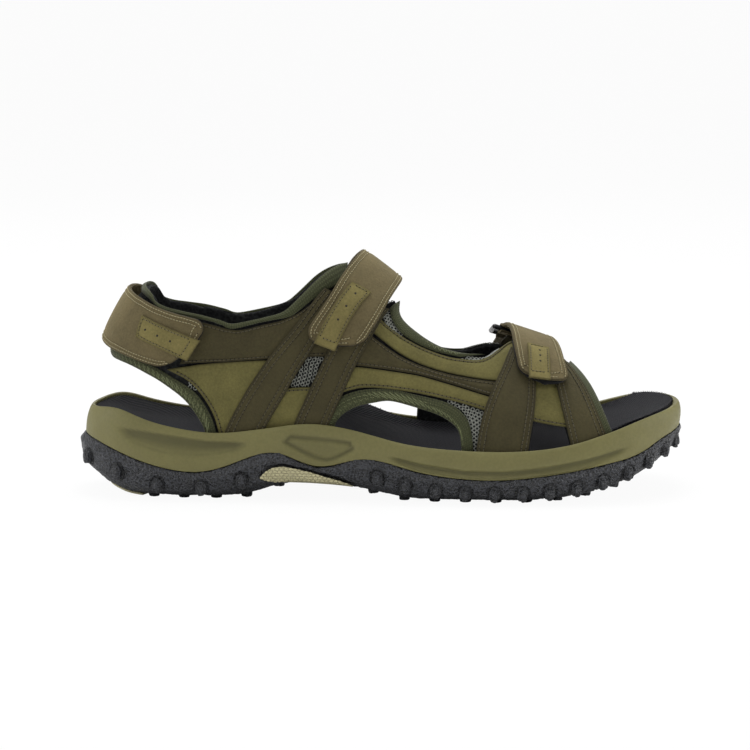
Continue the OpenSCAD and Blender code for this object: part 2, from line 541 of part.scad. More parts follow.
// The frame of a ring's joints: the middle of the strap's end, the bars' direction, the direction
// away from the strap, and the outward direction.
mid_d = strap_d + strap_t / 2;
sleeve_gap = 0.25;
sleeve_t = 1.1;
sleeve_r = bar_r + sleeve_gap + sleeve_t;
reach = sleeve_r - sleeve_t / 2;
function last_of(p) = p[len(p) - 1];
function ends(a, b) = [on_last(last_of(a), mid_d), on_last(last_of(b), mid_d)];
function ring_axis(a, b) = unit(ends(a, b)[1] - ends(a, b)[0]);
function ring_width(a, b) = norm(ends(a, b)[1] - ends(a, b)[0]);
function ring_away(a, b) =
    let (
        w = ring_axis(a, b),
        c = mix(last_of(a), last_of(b), 0.5),
        n = last_normal(c[0], c[1])
    )
    unit(cross(unit(n - w * (n * w)), w));
function ring_start(a, b) = mix(ends(a, b)[0], ends(a, b)[1], 0.5) + reach * ring_away(a, b);
// Children are drawn with the strap bar along X through the origin, the keeper bar at y = ring_span
// and the foot's outside at +Z.
module at_ring(a, b) {
    o = ring_start(a, b);
    w = ring_axis(a, b);
    v = ring_away(a, b);
    n = cross(w, v);
    multmatrix([
        [w[0], v[0], n[0], o[0]],
        [w[1], v[1], n[1], o[1]],
        [w[2], v[2], n[2], o[2]],
        [0, 0, 0, 1]
    ])
        children();
}
module bar(length, r) { rotate([0, 90, 0]) cylinder(h = length, r = r, center = true); }
module strap_ring(a, b) {
    half = ring_width(a, b) / 2 + ring_play + bar_r;
    color(rubber) at_ring(a, b) union() {
        for (y = [0, ring_span]) translate([0, y, 0]) bar(2 * half, bar_r);
        for (x = [-half, half]) {
            translate([x, ring_span / 2, 0])
                rotate([90, 0, 0]) cylinder(h = ring_span, r = bar_r, center = true);
            for (y = [0, ring_span]) translate([x, y, 0]) sphere(r = bar_r);
        }
    }
}
module keeper(a, b, length, tilt) {
    w = ring_width(a, b) - 1.5;
    color(dark_leather) at_ring(a, b) translate([0, ring_span, 0]) difference() {
        union() {
            bar(w, sleeve_r);
            rotate([-tilt, 0, 0]) translate([0.4 - w / 2, 0.7, 0.45 - sleeve_r])
                cube([w - 0.8, length - 0.7, sleeve_t]);
        }
        bar(w + 2, bar_r + sleeve_gap);
    }
}
module strap(a, b, nt, ns, bow) {
    w = ring_width(a, b) - 1;
    color(dark_leather) union() {
        sheet(a, b, strap_d, strap_d + strap_t, nt, ns, bow);
        at_ring(a, b) difference() {
            bar(w, sleeve_r);
            bar(w + 2, bar_r + sleeve_gap);
        }
    }
}
module heel_strap() { strap(heel_low, heel_high, 26, 4, 2); }
module instep_strap() { strap(instep_rear, instep_front, 18, 4, 2); }
module forefoot_strap() { strap(forefoot_rear, forefoot_front, 12, 4, 2); }
module heel_ring() { strap_ring(heel_low, heel_high); }
module instep_ring() { strap_ring(instep_rear, instep_front); }
module forefoot_ring() { strap_ring(forefoot_rear, forefoot_front); }
module heel_keeper() { keeper(heel_low, heel_high, 14, 3); }
module instep_keeper() { keeper(instep_rear, instep_front, 14, 10); }
module forefoot_keeper() { keeper(forefoot_rear, forefoot_front, 14, 8); }
module loop_patch(a, b, to) { color(black_cloth) strip(a, b, 0.03, to, 0.14, 0.86, loop_d, loop_d + patch_t, 6, 3); }
module hook_patch(a, b, to) { color(black_cloth) strip(a, b, 0.05, to, 0.18, 0.82, hook_d, hook_d + patch_t, 6, 3); }
module heel_loop_patch() { loop_patch(heel_low, heel_high, 0.3); }
module instep_loop_patch() { loop_patch(instep_rear, instep_front, 0.42); }
module forefoot_loop_patch() { loop_patch(forefoot_rear, forefoot_front, 0.4); }
module heel_hook_patch() { hook_patch(heel_low, heel_high, 0.26); }
module instep_hook_patch() { hook_patch(instep_rear, instep_front, 0.38); }
module forefoot_hook_patch() { hook_patch(forefoot_rear, forefoot_front, 0.36); }
// A short tab of lighter leather on each strap, from its free end inwards.
module pull_tab(a, b) {
    color(tab_leather) sheet(a, b, tab_d, tab_d + leather_t, 8, 2);
}
module heel_pull_tab() { pull_tab([at(18, 70), at(7.5, 74.5), at(-3, 79)], [at(24, 80), at(12, 84.5), at(0.5, 89)]); }
module instep_pull_tab() { pull_tab([over(80.5, 79.5, 1), over(95.5, 102.5, 1)], [over(91, 75.5, 1), over(104.5, 97, 1)]); }
module forefoot_pull_tab() {
    pull_tab([over(182.8, 57.3, 1), over(181.5, 67.5, 1)], [over(193.3, 55.3, 1), over(192.3, 64.5, 1)]);
}

// ---- all the pieces ----
outsole();
arch_plate();
heel_insert();
midsole();
insole_board();
footbed();
footbed_cover();
heel_collar();
collar_lower_binding();
collar_upper_binding();
lateral_quarter_lining();
lateral_vamp_lining();
lateral_toe_lining();
lateral_heel_panel();
lateral_collar_band();
lateral_lower_infill();
lateral_upper_infill();
lateral_rear_overlay();
lateral_front_overlay();
lateral_bridge_top();
lateral_bridge_middle();
lateral_bridge_bottom();
lateral_arch_binding();
lateral_throat_binding();
lateral_toe_infill();
lateral_toe_rear_overlay();
lateral_toe_front_overlay();
lateral_toe_binding();
medial_quarter_lining();
medial_vamp_lining();
medial_toe_lining();
medial_heel_panel();
medial_collar_band();
medial_rear_overlay();
medial_front_overlay();
medial_bridge();
medial_arch_binding();
medial_throat_binding();
medial_toe_infill();
medial_toe_rear_overlay();
medial_toe_front_overlay();
medial_toe_binding();
heel_loop_patch();
instep_loop_patch();
forefoot_loop_patch();
heel_keeper();
instep_keeper();
forefoot_keeper();
heel_ring();
instep_ring();
forefoot_ring();
heel_strap();
instep_strap();
forefoot_strap();
heel_hook_patch();
instep_hook_patch();
forefoot_hook_patch();
heel_pull_tab();
instep_pull_tab();
forefoot_pull_tab();
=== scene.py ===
# Looks of the strappy sport sandal, built round its CAD frame. Lengths are in metres; MM is a millimetre.
import itertools
import json
import math

import bmesh
import bpy
import numpy as np
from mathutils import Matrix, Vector
from mathutils.bvhtree import BVHTree


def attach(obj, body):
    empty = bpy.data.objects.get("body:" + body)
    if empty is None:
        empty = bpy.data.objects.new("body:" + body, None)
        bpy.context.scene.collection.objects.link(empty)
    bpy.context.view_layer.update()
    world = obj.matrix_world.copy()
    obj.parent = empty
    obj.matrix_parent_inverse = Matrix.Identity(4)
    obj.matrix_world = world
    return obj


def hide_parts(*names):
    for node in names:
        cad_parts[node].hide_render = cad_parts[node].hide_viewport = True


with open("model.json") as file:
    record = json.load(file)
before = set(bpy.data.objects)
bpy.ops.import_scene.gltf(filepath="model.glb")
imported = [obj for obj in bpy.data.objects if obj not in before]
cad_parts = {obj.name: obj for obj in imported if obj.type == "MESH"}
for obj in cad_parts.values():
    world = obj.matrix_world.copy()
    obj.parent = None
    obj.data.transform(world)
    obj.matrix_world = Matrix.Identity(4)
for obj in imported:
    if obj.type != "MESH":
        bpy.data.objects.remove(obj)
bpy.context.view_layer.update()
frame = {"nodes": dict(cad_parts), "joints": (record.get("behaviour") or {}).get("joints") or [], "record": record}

MM = 0.001
WELD = 0.02 * MM
STRAPS = ("heel", "instep", "forefoot")
nodes = frame["nodes"]
joints = {j["name"]: j for j in frame["joints"]}
home = {n: body for body, names in frame["record"]["behaviour"]["bodies"].items() for n in names}
rng = np.random.default_rng(7)


# ---------------- meshes
def added(name, data):
    """A new object in the scene."""
    obj = bpy.data.objects.new(name, data)
    bpy.context.scene.collection.objects.link(obj)
    return obj


def paint(mesh, name, values):
    """Stores a number at each vertex for the materials to read."""
    layer = mesh.attributes.new(name, "FLOAT", "POINT")
    layer.data.foreach_set("value", np.asarray(values, np.float32))


def build(name, verts, faces, look, body, stands_for=(), uv=None, rim=None):
    """A smooth-shaded mesh object riding on a CAD body. faces is an array or a list of index lists."""
    mesh = bpy.data.meshes.new(name)
    verts = np.asarray(verts, float)
    mesh.from_pydata(verts.tolist(), [], faces.tolist() if isinstance(faces, np.ndarray) else faces)
    mesh.polygons.foreach_set("use_smooth", [True] * len(mesh.polygons))
    if uv is not None:
        loops = np.empty(len(mesh.loops), np.int32)
        mesh.loops.foreach_get("vertex_index", loops)
        mesh.uv_layers.new(name="UVMap").data.foreach_set("uv", np.asarray(uv, np.float32)[loops].ravel())
    if rim is not None:
        paint(mesh, "rim", rim)
    mesh.materials.append(look)
    obj = added(name, mesh)
    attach(obj, body)
    if stands_for:
        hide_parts(*stands_for)


def vectors(vertices, name="co"):
    """The positions or normals of a mesh's vertices."""
    out = np.empty(len(vertices) * 3, np.float32)
    vertices.foreach_get(name, out)
    return out.reshape(-1, 3).astype(float)


def joined(node, name="weld", quads=False):
    """A CAD node's mesh with its split vertices joined and, if asked, its triangles paired into quads."""
    bm = bmesh.new()
    bm.from_mesh(nodes[node].data)
    bmesh.ops.remove_doubles(bm, verts=bm.verts, dist=WELD)
    if quads:
        bmesh.ops.join_triangles(bm, faces=bm.faces, angle_face_threshold=math.radians(40),
                                 angle_shape_threshold=math.radians(90))
    mesh = bpy.data.meshes.new(name)
    bm.to_mesh(mesh)
    bm.free()
    return mesh


def welded(node):
    """A CAD node's vertices and triangles with its split vertices joined."""
    mesh = joined(node)
    mesh.calc_loop_triangles()
    tri = np.empty(len(mesh.loop_triangles) * 3, np.int32)
    mesh.loop_triangles.foreach_get("vertices", tri)
    co = vectors(mesh.vertices)
    bpy.data.meshes.remove(mesh)
    return co, tri.reshape(-1, 3)


def search_tree(names):
    """A search tree over the surfaces of some CAD nodes."""
    co, tri = np.empty((0, 3)), np.empty((0, 3), int)
    for name in names:
        more_co, more_tri = welded(name)
        tri = np.concatenate([tri, more_tri + len(co)])
        co = np.concatenate([co, more_co])
    return BVHTree.FromPolygons(co.tolist(), tri.tolist())


def unit(v):
    return v / np.maximum(np.linalg.norm(v, axis=-1, keepdims=True), 1e-12)


def smoothstep(t):
    t = np.clip(t, 0, 1)
    return t * t * (3 - 2 * t)


def steps(grid, axis=0):
    """Distances between neighbouring points."""
    return np.linalg.norm(np.diff(grid, axis=axis), axis=-1)


def running(lengths):
    """The running total of some lengths, from zero."""
    return np.concatenate([[0], np.cumsum(lengths)])


def between(t, where, rows):
    """Vectors known at some places, read off at the places t."""
    return np.stack([np.interp(t, where, rows[:, k]) for k in range(3)], -1)


def tri_normals(co, tri):
    return np.cross(co[tri[:, 1]] - co[tri[:, 0]], co[tri[:, 2]] - co[tri[:, 0]])


def patches(co, tri, limit=50):
    """Groups of triangles that meet without a sharp edge, largest first."""
    n = tri_normals(co, tri)
    area, n = np.linalg.norm(n, axis=1), unit(n)
    first, smooth = {}, [[] for _ in tri]
    for t, (a, b, c) in enumerate(tri.tolist()):
        for e in ((a, b), (b, c), (c, a)):
            o = first.setdefault((min(e), max(e)), t)
            if o != t and n[t] @ n[o] > math.cos(math.radians(limit)):
                smooth[t].append(o)
                smooth[o].append(t)
    seen, found = set(), []
    for start in range(len(tri)):
        if start in seen:
            continue
        stack, members = [start], []
        seen.add(start)
        while stack:
            t = stack.pop()
            members.append(t)
            for o in smooth[t]:
                if o not in seen:
                    seen.add(o)
                    stack.append(o)
        found.append(members)
    found.sort(key=lambda m: -area[m].sum())
    return [tri[m] for m in found]


def edges_of(tri):
    """The corner opposite each edge, each vertex's triangle count and the next vertex on the border."""
    opposite, count = {}, {}
    for a, b, c in tri.tolist():
        opposite[(a, b)], opposite[(b, c)], opposite[(c, a)] = c, a, b
        for v in (a, b, c):
            count[v] = count.get(v, 0) + 1
    return opposite, count, {a: b for a, b in opposite if (b, a) not in opposite}


def next_row(opposite, row, left, right):
    """The grid row beyond a row, between two border vertices, or None where the grid ends."""
    third = [opposite.get(e) for e in zip(row, row[1:])]
    if None in third or (third[0] != left and third[-1] != right):
        return None
    return third + [right] if third[0] == left else [left] + third


def grid_of(tri):
    """The vertex grid under a patch whose squares are all cut along the same diagonal."""
    opposite, count, after = edges_of(tri)
    start = next((a for a in sorted(after) if count[a] <= 2), None)
    if start is None:
        return None
    loop, v = [start], after[start]
    while v != start and v in after and len(loop) <= len(after):
        loop.append(v)
        v = after[v]
    corners = [i for i, v in enumerate(loop) if count[v] <= 2]
    if len(corners) != 4 or len(loop) != len(after):
        return None
    loop.append(start)
    c = corners + [len(loop) - 1]
    rows, right, left = [loop[c[0]:c[1] + 1]], loop[c[1]:c[2] + 1], loop[c[3]:c[4] + 1][::-1]
    for r in range(1, len(right)):
        rows.append(next_row(opposite, rows[-1], left[r], right[r]))
        if rows[-1] is None:
            return None
    return np.array(rows)


def strip_of(tri, width=4, longest=60):
    """The rows of a strap's vertex grid, from its free end to where it meets its sleeve."""
    opposite, count, after = edges_of(tri)
    before = {b: a for a, b in after.items()}
    best = []
    for start in sorted(after):
        row = [start]
        while len(row) <= width and row[-1] in after:
            row.append(after[row[-1]])
        if len(row) != width + 1 or count[start] > 2 or count[row[-1]] > 2:
            continue
        rows, left, right = [row], row[0], row[-1]
        while len(rows) < longest and left in before and right in after:
            left, right = before[left], after[right]
            row = next_row(opposite, rows[-1], left, right)
            if row is None or len(set(row)) != width + 1:
                break
            rows.append(row)
        if len(rows) > len(best):
            best = rows
    return np.array(best)


def away(p):
    """Vectors pointing outwards from the middle of the foot at the given points."""
    out = p - np.array([0, 0, 40 * MM])
    out[:, 0] = np.minimum(p[:, 0] - 30 * MM, 0)
    return out


def outwards(co, tri):
    """How much a patch faces away from the foot."""
    return (tri_normals(co, tri) * away(co[tri].mean(1))).sum()


def sides_of(co, tri, limit):
    """The outer and inner triangles of a sheet-like solid. Folded ones go with the face they lie on."""
    parts = patches(co, tri, limit)[:2]
    trees = [BVHTree.FromPolygons(co.tolist(), p.tolist()) for p in parts]
    nearer = np.array([[t.find_nearest(Vector(v))[3] for t in trees] for v in co]).argmin(1)
    parts = [tri[(nearer[tri] == k).all(1)] for k in (0, 1)]
    return sorted(parts, key=lambda t: outwards(co, t), reverse=True)


def faces_grid(node):
    """The outer and inner vertex grids of a sheet-like CAD node, matched corner to corner."""
    co, tri = welded(node)
    for limit in (50, 30, 70):
        grids = [grid_of(t) for t in sides_of(co, tri, limit)]
        if any(g is None for g in grids):
            continue
        outer, inner = co[grids[0]], co[grids[1]]
        turned = [h for g in (inner, inner.transpose(1, 0, 2)) for h in (g, g[::-1])]
        turned = [h for g in turned for h in (g, g[:, ::-1]) if h.shape == outer.shape]
        if turned:
            return outer, min(turned, key=lambda g: np.linalg.norm(g - outer, axis=2).max())
    return None


def along(grid, t, axis):
    """The grid sampled at positions t (in cells) along one axis with a smooth cubic."""
    g = np.moveaxis(grid, axis, 0)
    n = len(g)
    i = np.clip(np.floor(t).astype(int), 0, n - 2)
    f = (t - i).reshape((-1,) + (1,) * (g.ndim - 1))
    p1, p2 = g[i], g[i + 1]
    if n == 2:
        return np.moveaxis(p1 + (p2 - p1) * f, 0, axis)
    p0 = np.where((i > 0).reshape(f.shape), g[np.maximum(i - 1, 0)], 2 * p1 - p2)
    p3 = np.where((i < n - 2).reshape(f.shape), g[np.minimum(i + 2, n - 1)], 2 * p2 - p1)
    m1, m2 = (p2 - p0) / 2, (p3 - p1) / 2
    f2, f3 = f * f, f * f * f
    out = (2 * f3 - 3 * f2 + 1) * p1 + (f3 - 2 * f2 + f) * m1
    out = out + (3 * f2 - 2 * f3) * p2 + (f3 - f2) * m2
    return np.moveaxis(out, 0, axis)


def sampled(grid, rows, cols):
    return along(along(grid, rows, 0), cols, 1)


def spacing(grid, axis, step, edge):
    """Sample positions along a grid axis: close together at both ends, then about one step apart."""
    arc = running(steps(np.moveaxis(grid, axis, 0)).max(1))
    total = arc[-1]
    ends = [d for d in edge if d < total * 0.4]
    n = max(1, round((total - 2 * ends[-1]) / step))
    s = np.linspace(ends[-1], total - ends[-1], n + 1)[1:-1].tolist()
    return np.interp(ends + s + [total - d for d in ends[::-1]], arc, np.arange(len(arc)))


def to_line(points, line):
    """Distance from each point to a polyline."""
    a, d = line[:-1], np.diff(line, axis=0)
    length = np.maximum((d * d).sum(1), 1e-16)
    best = np.full(len(points), 1e9)
    for k in range(len(a)):
        t = np.clip(((points - a[k]) @ d[k]) / length[k], 0, 1)
        q = points - a[k] - t[:, None] * d[k]
        best = np.minimum(best, (q * q).sum(1))
    return np.sqrt(best)


def quads(index):
    """The corners of every square of a grid of vertex numbers."""
    return np.stack([index[:-1, :-1], index[:-1, 1:], index[1:, 1:], index[1:, :-1]], -1).reshape(-1, 4)


def facing(grid, side):
    """The grid turned so that its first row lies on the given side."""
    grid = grid.transpose(1, 0, 2) if side in (1, 3) else grid
    return grid[::-1] if side in (1, 2) else grid


FINE_EDGE = (0, 0.12 * MM, 0.3 * MM, 0.6 * MM)
TROUGH = 0.75 * MM          # half width of the trough under a stitch row
CROWN_REACH = 2.2 * MM      # how far from the rim the crown comes up
RIM_BLEND = 1.2 * MM        # how far from the rim the relief fades in


class Sheet:
    """A dense smooth copy of a sheet-like CAD solid: its outer and inner surfaces and its four sides."""

    def __init__(self, node, step=0.9 * MM, edge=FINE_EDGE, grids=None):
        self.node = node
        outer, inner = grids or faces_grid(node)
        rows, cols = spacing(outer, 0, step, edge), spacing(outer, 1, step, edge)
        self.outer, self.inner = sampled(outer, rows, cols), sampled(inner, rows, cols)
        self.measure()

    def measure(self):
        self.half = (self.outer - self.inner) / 2
        self.mid = (self.outer + self.inner) / 2
        self.normal = unit(self.half)
        o = self.outer
        self.sides = [o[0], o[:, -1], o[-1], o[:, 0]]
        coarse = [s[::2] if len(s) > 60 else s for s in self.sides]
        self.apart = [to_line(o.reshape(-1, 3), s).reshape(o.shape[:2]) for s in coarse]
        self.u, self.v = running(steps(o, 1).mean(0)), running(steps(o).mean(1))

    def round_end(self, radius):
        """Rounds the two corners of the sheet's first row."""
        arc = running(steps(self.outer[:, self.outer.shape[1] // 2]))
        for g in (self.outer, self.inner):
            for i in np.flatnonzero(arc < radius):
                row = g[i].copy()
                place_of = running(steps(row))
                inset = radius - math.sqrt(radius ** 2 - (radius - arc[i]) ** 2)
                to = inset + place_of / place_of[-1] * (place_of[-1] - 2 * inset)
                g[i] = between(to, place_of, row)
        self.measure()

    def stretch(self, side, by, low=-1, high=1, over=4 * MM, steep=False):
        """Moves one side outwards between two heights, or only where that side runs steeply."""
        for grid in (self.outer, self.inner):
            g = facing(grid, side)
            arc = running(steps(g).mean(1))
            out = unit(g[0] - g[np.searchsorted(arc, 2 * MM)])
            z = g[0, :, 2]
            share = smoothstep((z - low) / (3 * MM)) * smoothstep((high - z) / (3 * MM))
            if steep:
                share = share * (np.abs(out[:, 2]) < 0.75)
            g += (out * share[:, None])[None] * (by * np.clip(1 - arc / over, 0, 1))[:, None, None]
        self.measure()

    def long_sides(self):
        lengths = [steps(s).sum() for s in self.sides]
        return (0, 2) if lengths[0] + lengths[2] > lengths[1] + lengths[3] else (1, 3)

    def rear_and_front(self):
        """The two long sides, the one nearer the heel first."""
        return sorted(self.long_sides(), key=lambda g: self.sides[g][:, 0].mean())

    def side(self, where):
        """The side that lies furthest rear, top or bottom, or the upper or lower one of the long sides."""
        if where in ("upper", "lower"):
            return sorted(self.long_sides(), key=lambda g: self.sides[g][:, 2].mean())[where == "upper"]
        axis, sign = {"rear": (0, -1), "top": (2, 1), "bottom": (2, -1)}[where]
        return int(np.argmax([s[:, axis].mean() * sign for s in self.sides]))

    def row(self, side, offset, margin, clear=None):
        """Points and normals of a line at an offset from a side, clear of the other sides by a margin."""
        g, n = facing(self.surface, side), facing(self.normal, side)
        points, normals = [], []
        tangent = unit(np.gradient(g[0], axis=0))
        for j in range(g.shape[1]):
            col = g[:, j]
            arc = running(steps(col))
            lead = unit(col[min(3, len(col) - 1)] - col[0])
            want = offset / math.sqrt(max(0.3, 1 - float(lead @ tangent[j]) ** 2))
            if want <= arc[-1]:
                points.append(between(want, arc, col))
                normals.append(between(want, arc, n[:, j]))
        if len(points) < 2:
            return None
        points, normals = np.array(points), unit(np.array(normals))
        keep = np.ones(len(points), bool)
        for k, s in enumerate(self.sides):
            if k != side:
                keep &= to_line(points, s) > (offset * 0.8 if k % 2 == side % 2 else margin)
        if clear:
            keep &= to_line(points, self.sides[clear[0]]) > clear[1]
        return (points[keep], normals[keep]) if keep.sum() > 1 else None

    def shell(self, name, look, edge=0.5 * MM, grooves=(), crown=0.0, sharp=2.5, bulge=0.0, pad=None,
              stands=True):
        """The closed mesh: rounded edges, a crown in the middle and a trough under each stitch row."""
        rim = np.min(self.apart, axis=0)
        full = (1 - (1 - np.clip(rim / edge, 0, 1)) ** sharp) ** (1 / sharp)
        rise = crown * (1 - np.exp(-rim / CROWN_REACH)) + bulge
        for side, offset, depth in grooves:
            rise = rise - depth * np.exp(-((self.apart[side] - offset) / TROUGH) ** 2)
        rise = rise * np.clip(rim / RIM_BLEND, 0, 1)
        top = self.mid + self.half * full[..., None] + self.normal * rise[..., None]
        low = self.mid - self.half * full[..., None]
        if pad is not None:
            low = low - self.normal * pad[..., None]
        self.surface = top
        r, c = rim.shape
        index = np.arange(r * c).reshape(r, c)
        inside = np.zeros((r, c), bool)
        inside[1:-1, 1:-1] = True
        under = index.copy()
        under[inside] = r * c + np.arange(inside.sum())
        verts = np.concatenate([top.reshape(-1, 3), low[inside]])
        uv = np.stack(np.meshgrid(self.u, self.v), -1)
        uv = np.concatenate([uv.reshape(-1, 2), uv[inside]])
        faces = np.concatenate([quads(index), quads(under)[:, [0, 3, 2, 1]]])
        i, j = r // 2, c // 2
        if np.cross(top[i, j + 1] - top[i, j], top[i + 1, j] - top[i, j]) @ self.normal[i, j] < 0:
            faces = faces[:, ::-1]
        build(name, verts, faces, look, home[self.node], (self.node,) if stands else (), uv,
              np.concatenate([rim.ravel(), rim[inside]]) / MM)


# ---------------- materials
def material(name, colour, rough=0.8, **settings):
    """A node material with its tree and its shader node."""
    m = bpy.data.materials.new(name)
    m.use_nodes = True
    shader = m.node_tree.nodes["Principled BSDF"]
    shader.inputs["Roughness"].default_value = rough
    shader.inputs["Base Color"].default_value = (*colour, 1)
    m.diffuse_color = (*colour, 1)
    for key, value in settings.items():
        shader.inputs[key.replace("_", " ")].default_value = value
    return m, m.node_tree, shader


def add(tree, kind, links=None, **settings):
    """A new node with some of its inputs linked and some of its settings or inputs set."""
    n = tree.nodes.new(kind)
    for key, value in settings.items():
        if hasattr(n, key):
            setattr(n, key, value)
        else:
            n.inputs[key.replace("_", " ")].default_value = value
    for key, source in (links or {}).items():
        tree.links.new(source, n.inputs[key])
    return n


def srgb(r, g, b):
    return tuple((c / 255 / 12.92) if c <= 10 else ((c / 255 + 0.055) / 1.055) ** 2.4 for c in (r, g, b))


def scaled(colour, k):
    return tuple(min(1, c * k) for c in colour)


def tones(tree, factor, stops):
    """A colour ramp through the given (position, colour) stops."""
    ramp = add(tree, "ShaderNodeValToRGB", {"Fac": factor})
    e = ramp.color_ramp.elements
    while len(e) < len(stops):
        e.new(0.5)
    for k, (position, colour) in enumerate(stops):
        e[k].position = position
        e[k].color = (*colour, 1)
    return ramp.outputs["Color"]


def shades(tree, factor, colour, low, high):
    """A colour that runs from one multiple of itself to another: each end is (position, multiple)."""
    return tones(tree, factor, [(low[0], scaled(colour, low[1])), (high[0], scaled(colour, high[1]))])


def coordinates(tree, kind="Object"):
    return add(tree, "ShaderNodeTexCoord").outputs[kind]


def noise(tree, scale, detail=3):
    return add(tree, "ShaderNodeTexNoise", {"Vector": coordinates(tree)}, Scale=scale, Detail=detail,
               Roughness=0.55).outputs["Fac"]


def wave(tree, where, scale, distortion, detail, direction):
    return add(tree, "ShaderNodeTexWave", {"Vector": where}, bands_direction=direction, Scale=scale,
               Distortion=distortion, Detail=detail).outputs["Fac"]


def cells(tree, scale, feature):
    return add(tree, "ShaderNodeTexVoronoi", {"Vector": coordinates(tree)}, Scale=scale,
               feature=feature).outputs["Distance"]


def vertex_value(tree, name):
    return add(tree, "ShaderNodeAttribute", attribute_name=name).outputs["Fac"]


def feed(tree, node, values):
    """Puts numbers, colours or links into some of a node's inputs."""
    for k, v in values.items():
        if isinstance(v, (int, float)):
            node.inputs[k].default_value = v
        elif isinstance(v, tuple):
            node.inputs[k].default_value = (*v, 1)
        else:
            tree.links.new(v, node.inputs[k])


def math_node(tree, op, a, b):
    n = tree.nodes.new("ShaderNodeMath")
    n.operation = op
    feed(tree, n, {0: a, 1: b})
    return n.outputs[0]


def weighted(tree, a, share_a, b, share_b):
    """The sum of two values, each times its share."""
    parts = [math_node(tree, "MULTIPLY", value, share) for value, share in ((a, share_a), (b, share_b))]
    return math_node(tree, "ADD", *parts)


def mix(tree, share, a, b, mode="MIX"):
    n = tree.nodes.new("ShaderNodeMix")
    n.data_type, n.blend_type = "RGBA", mode
    feed(tree, n, {0: share, 6: a, 7: b})
    return n.outputs[2]


def bump(tree, shader, height, strength, distance, under=None):
    n = add(tree, "ShaderNodeBump", {"Height": height}, Strength=strength, Distance=distance)
    if under:
        tree.links.new(under, n.inputs["Normal"])
    tree.links.new(n.outputs["Normal"], shader.inputs["Normal"])
    return n.outputs["Normal"]


def uneven(tree, shader, value, rough):
    """Lets the gloss vary a little with a value."""
    gloss = math_node(tree, "ADD", math_node(tree, "MULTIPLY", value, 0.2), rough - 0.1)
    tree.links.new(gloss, shader.inputs["Roughness"])


def nubuck(name, colour, sheen):
    """Nubuck leather: cloudy nap, fine pores, a darker burnished rim and a soft sheen."""
    m, t, s = material(name, colour, 0.88, Sheen_Weight=sheen, Sheen_Roughness=0.45,
                       Sheen_Tint=(*scaled(colour, 3.2), 1), Specular_IOR_Level=0.25)
    clouds = [(0.3, scaled(colour, 0.74)), (0.5, colour), (0.72, scaled(colour, 1.28))]
    base = tones(t, noise(t, 55, 4), clouds)
    base = mix(t, 0.35, base, shades(t, noise(t, 900), colour, (0.35, 0.7), (0.65, 1.3)))
    burnish = [(0.0, (0.42,) * 3), (0.45, (0.8,) * 3), (1.0, (1,) * 3)]
    worn = tones(t, math_node(t, "DIVIDE", vertex_value(t, "rim"), 1.4), burnish)
    t.links.new(mix(t, 1.0, base, worn, "MULTIPLY"), s.inputs["Base Color"])
    pores = bump(t, s, noise(t, 2600, 2), 0.35, 0.4 * MM)
    bump(t, s, noise(t, 420), 0.25, 0.9 * MM, pores)
    return m


def cloth(name, colour, scale, sheen, contrast):
    """Fine woven or knitted cloth: two crossed wave textures and a little fuzz."""
    m, t, s = material(name, colour, 0.92, Sheen_Weight=sheen, Specular_IOR_Level=0.2)
    uv = coordinates(t, "UV")
    weave = math_node(t, "MULTIPLY", wave(t, uv, scale, 0.6, 1, "X"), wave(t, uv, scale, 0.6, 1, "Y"))
    both = weighted(t, weave, 0.6, noise(t, 1500, 2), 0.6)
    t.links.new(shades(t, both, colour, (0.15, 1 - contrast), (0.75, 1 + contrast)), s.inputs["Base Color"])
    bump(t, s, both, 0.6, 0.4 * MM)
    return m


def spacer(name, base, dot):
    """Black spacer mesh: small round cells with lighter knitted ribs."""
    m, t, s = material(name, base, 0.9, Specular_IOR_Level=0.2)
    holes = cells(t, 620, "F1")
    rib = tones(t, holes, [(0.25, base), (0.5, scaled(base, 1.4)), (0.75, dot)])
    t.links.new(mix(t, noise(t, 90, 2), base, rib), s.inputs["Base Color"])
    bump(t, s, holes, 0.7, 0.6 * MM)
    return m


def moulded(name, colour, pores=700, rough=0.62):
    """Foam or rubber skin: even colour with slight clouding, fine mould texture, and painted shade where the
    vertex value deep marks a recess.
    """
    m, t, s = material(name, colour, rough, Specular_IOR_Level=0.35)
    base = shades(t, noise(t, 30), colour, (0.3, 0.9), (0.7, 1.1))
    base = mix(t, 0.15, base, shades(t, noise(t, pores, 2), colour, (0.4, 0.75), (0.6, 1.25)))
    # painted shade: the colour darkens towards 0.45 of itself where the vertex value deep is high
    base = mix(t, vertex_value(t, "deep"), base, scaled(colour, 0.45))
    t.links.new(base, s.inputs["Base Color"])
    uneven(t, s, noise(t, 200, 2), rough)
    bump(t, s, noise(t, pores), 0.25, 0.4 * MM)
    return m


def pebbled(name, colour):
    """Black rubber with a grained skin, lighter speckles on the high spots of the grain, and painted shade in its
    troughs.
    """
    m, t, s = material(name, colour, 0.5, Specular_IOR_Level=0.5)
    both = weighted(t, cells(t, 900, "SMOOTH_F1"), 0.9, noise(t, 1100), 0.5)
    base = tones(t, both, [(0.38, scaled(colour, 0.3)), (0.56, colour), (0.72, scaled(colour, 3.4))])
    # painted shade: darker where the vertex value deep marks a trough round a lug or the plate
    t.links.new(mix(t, vertex_value(t, "deep"), base, scaled(colour, 0.3)), s.inputs["Base Color"])
    t.links.new(tones(t, noise(t, 60), [(0.3, (0.4,) * 3), (0.7, (0.6,) * 3)]), s.inputs["Roughness"])
    bump(t, s, both, 1.0, 1.4 * MM)
    return m


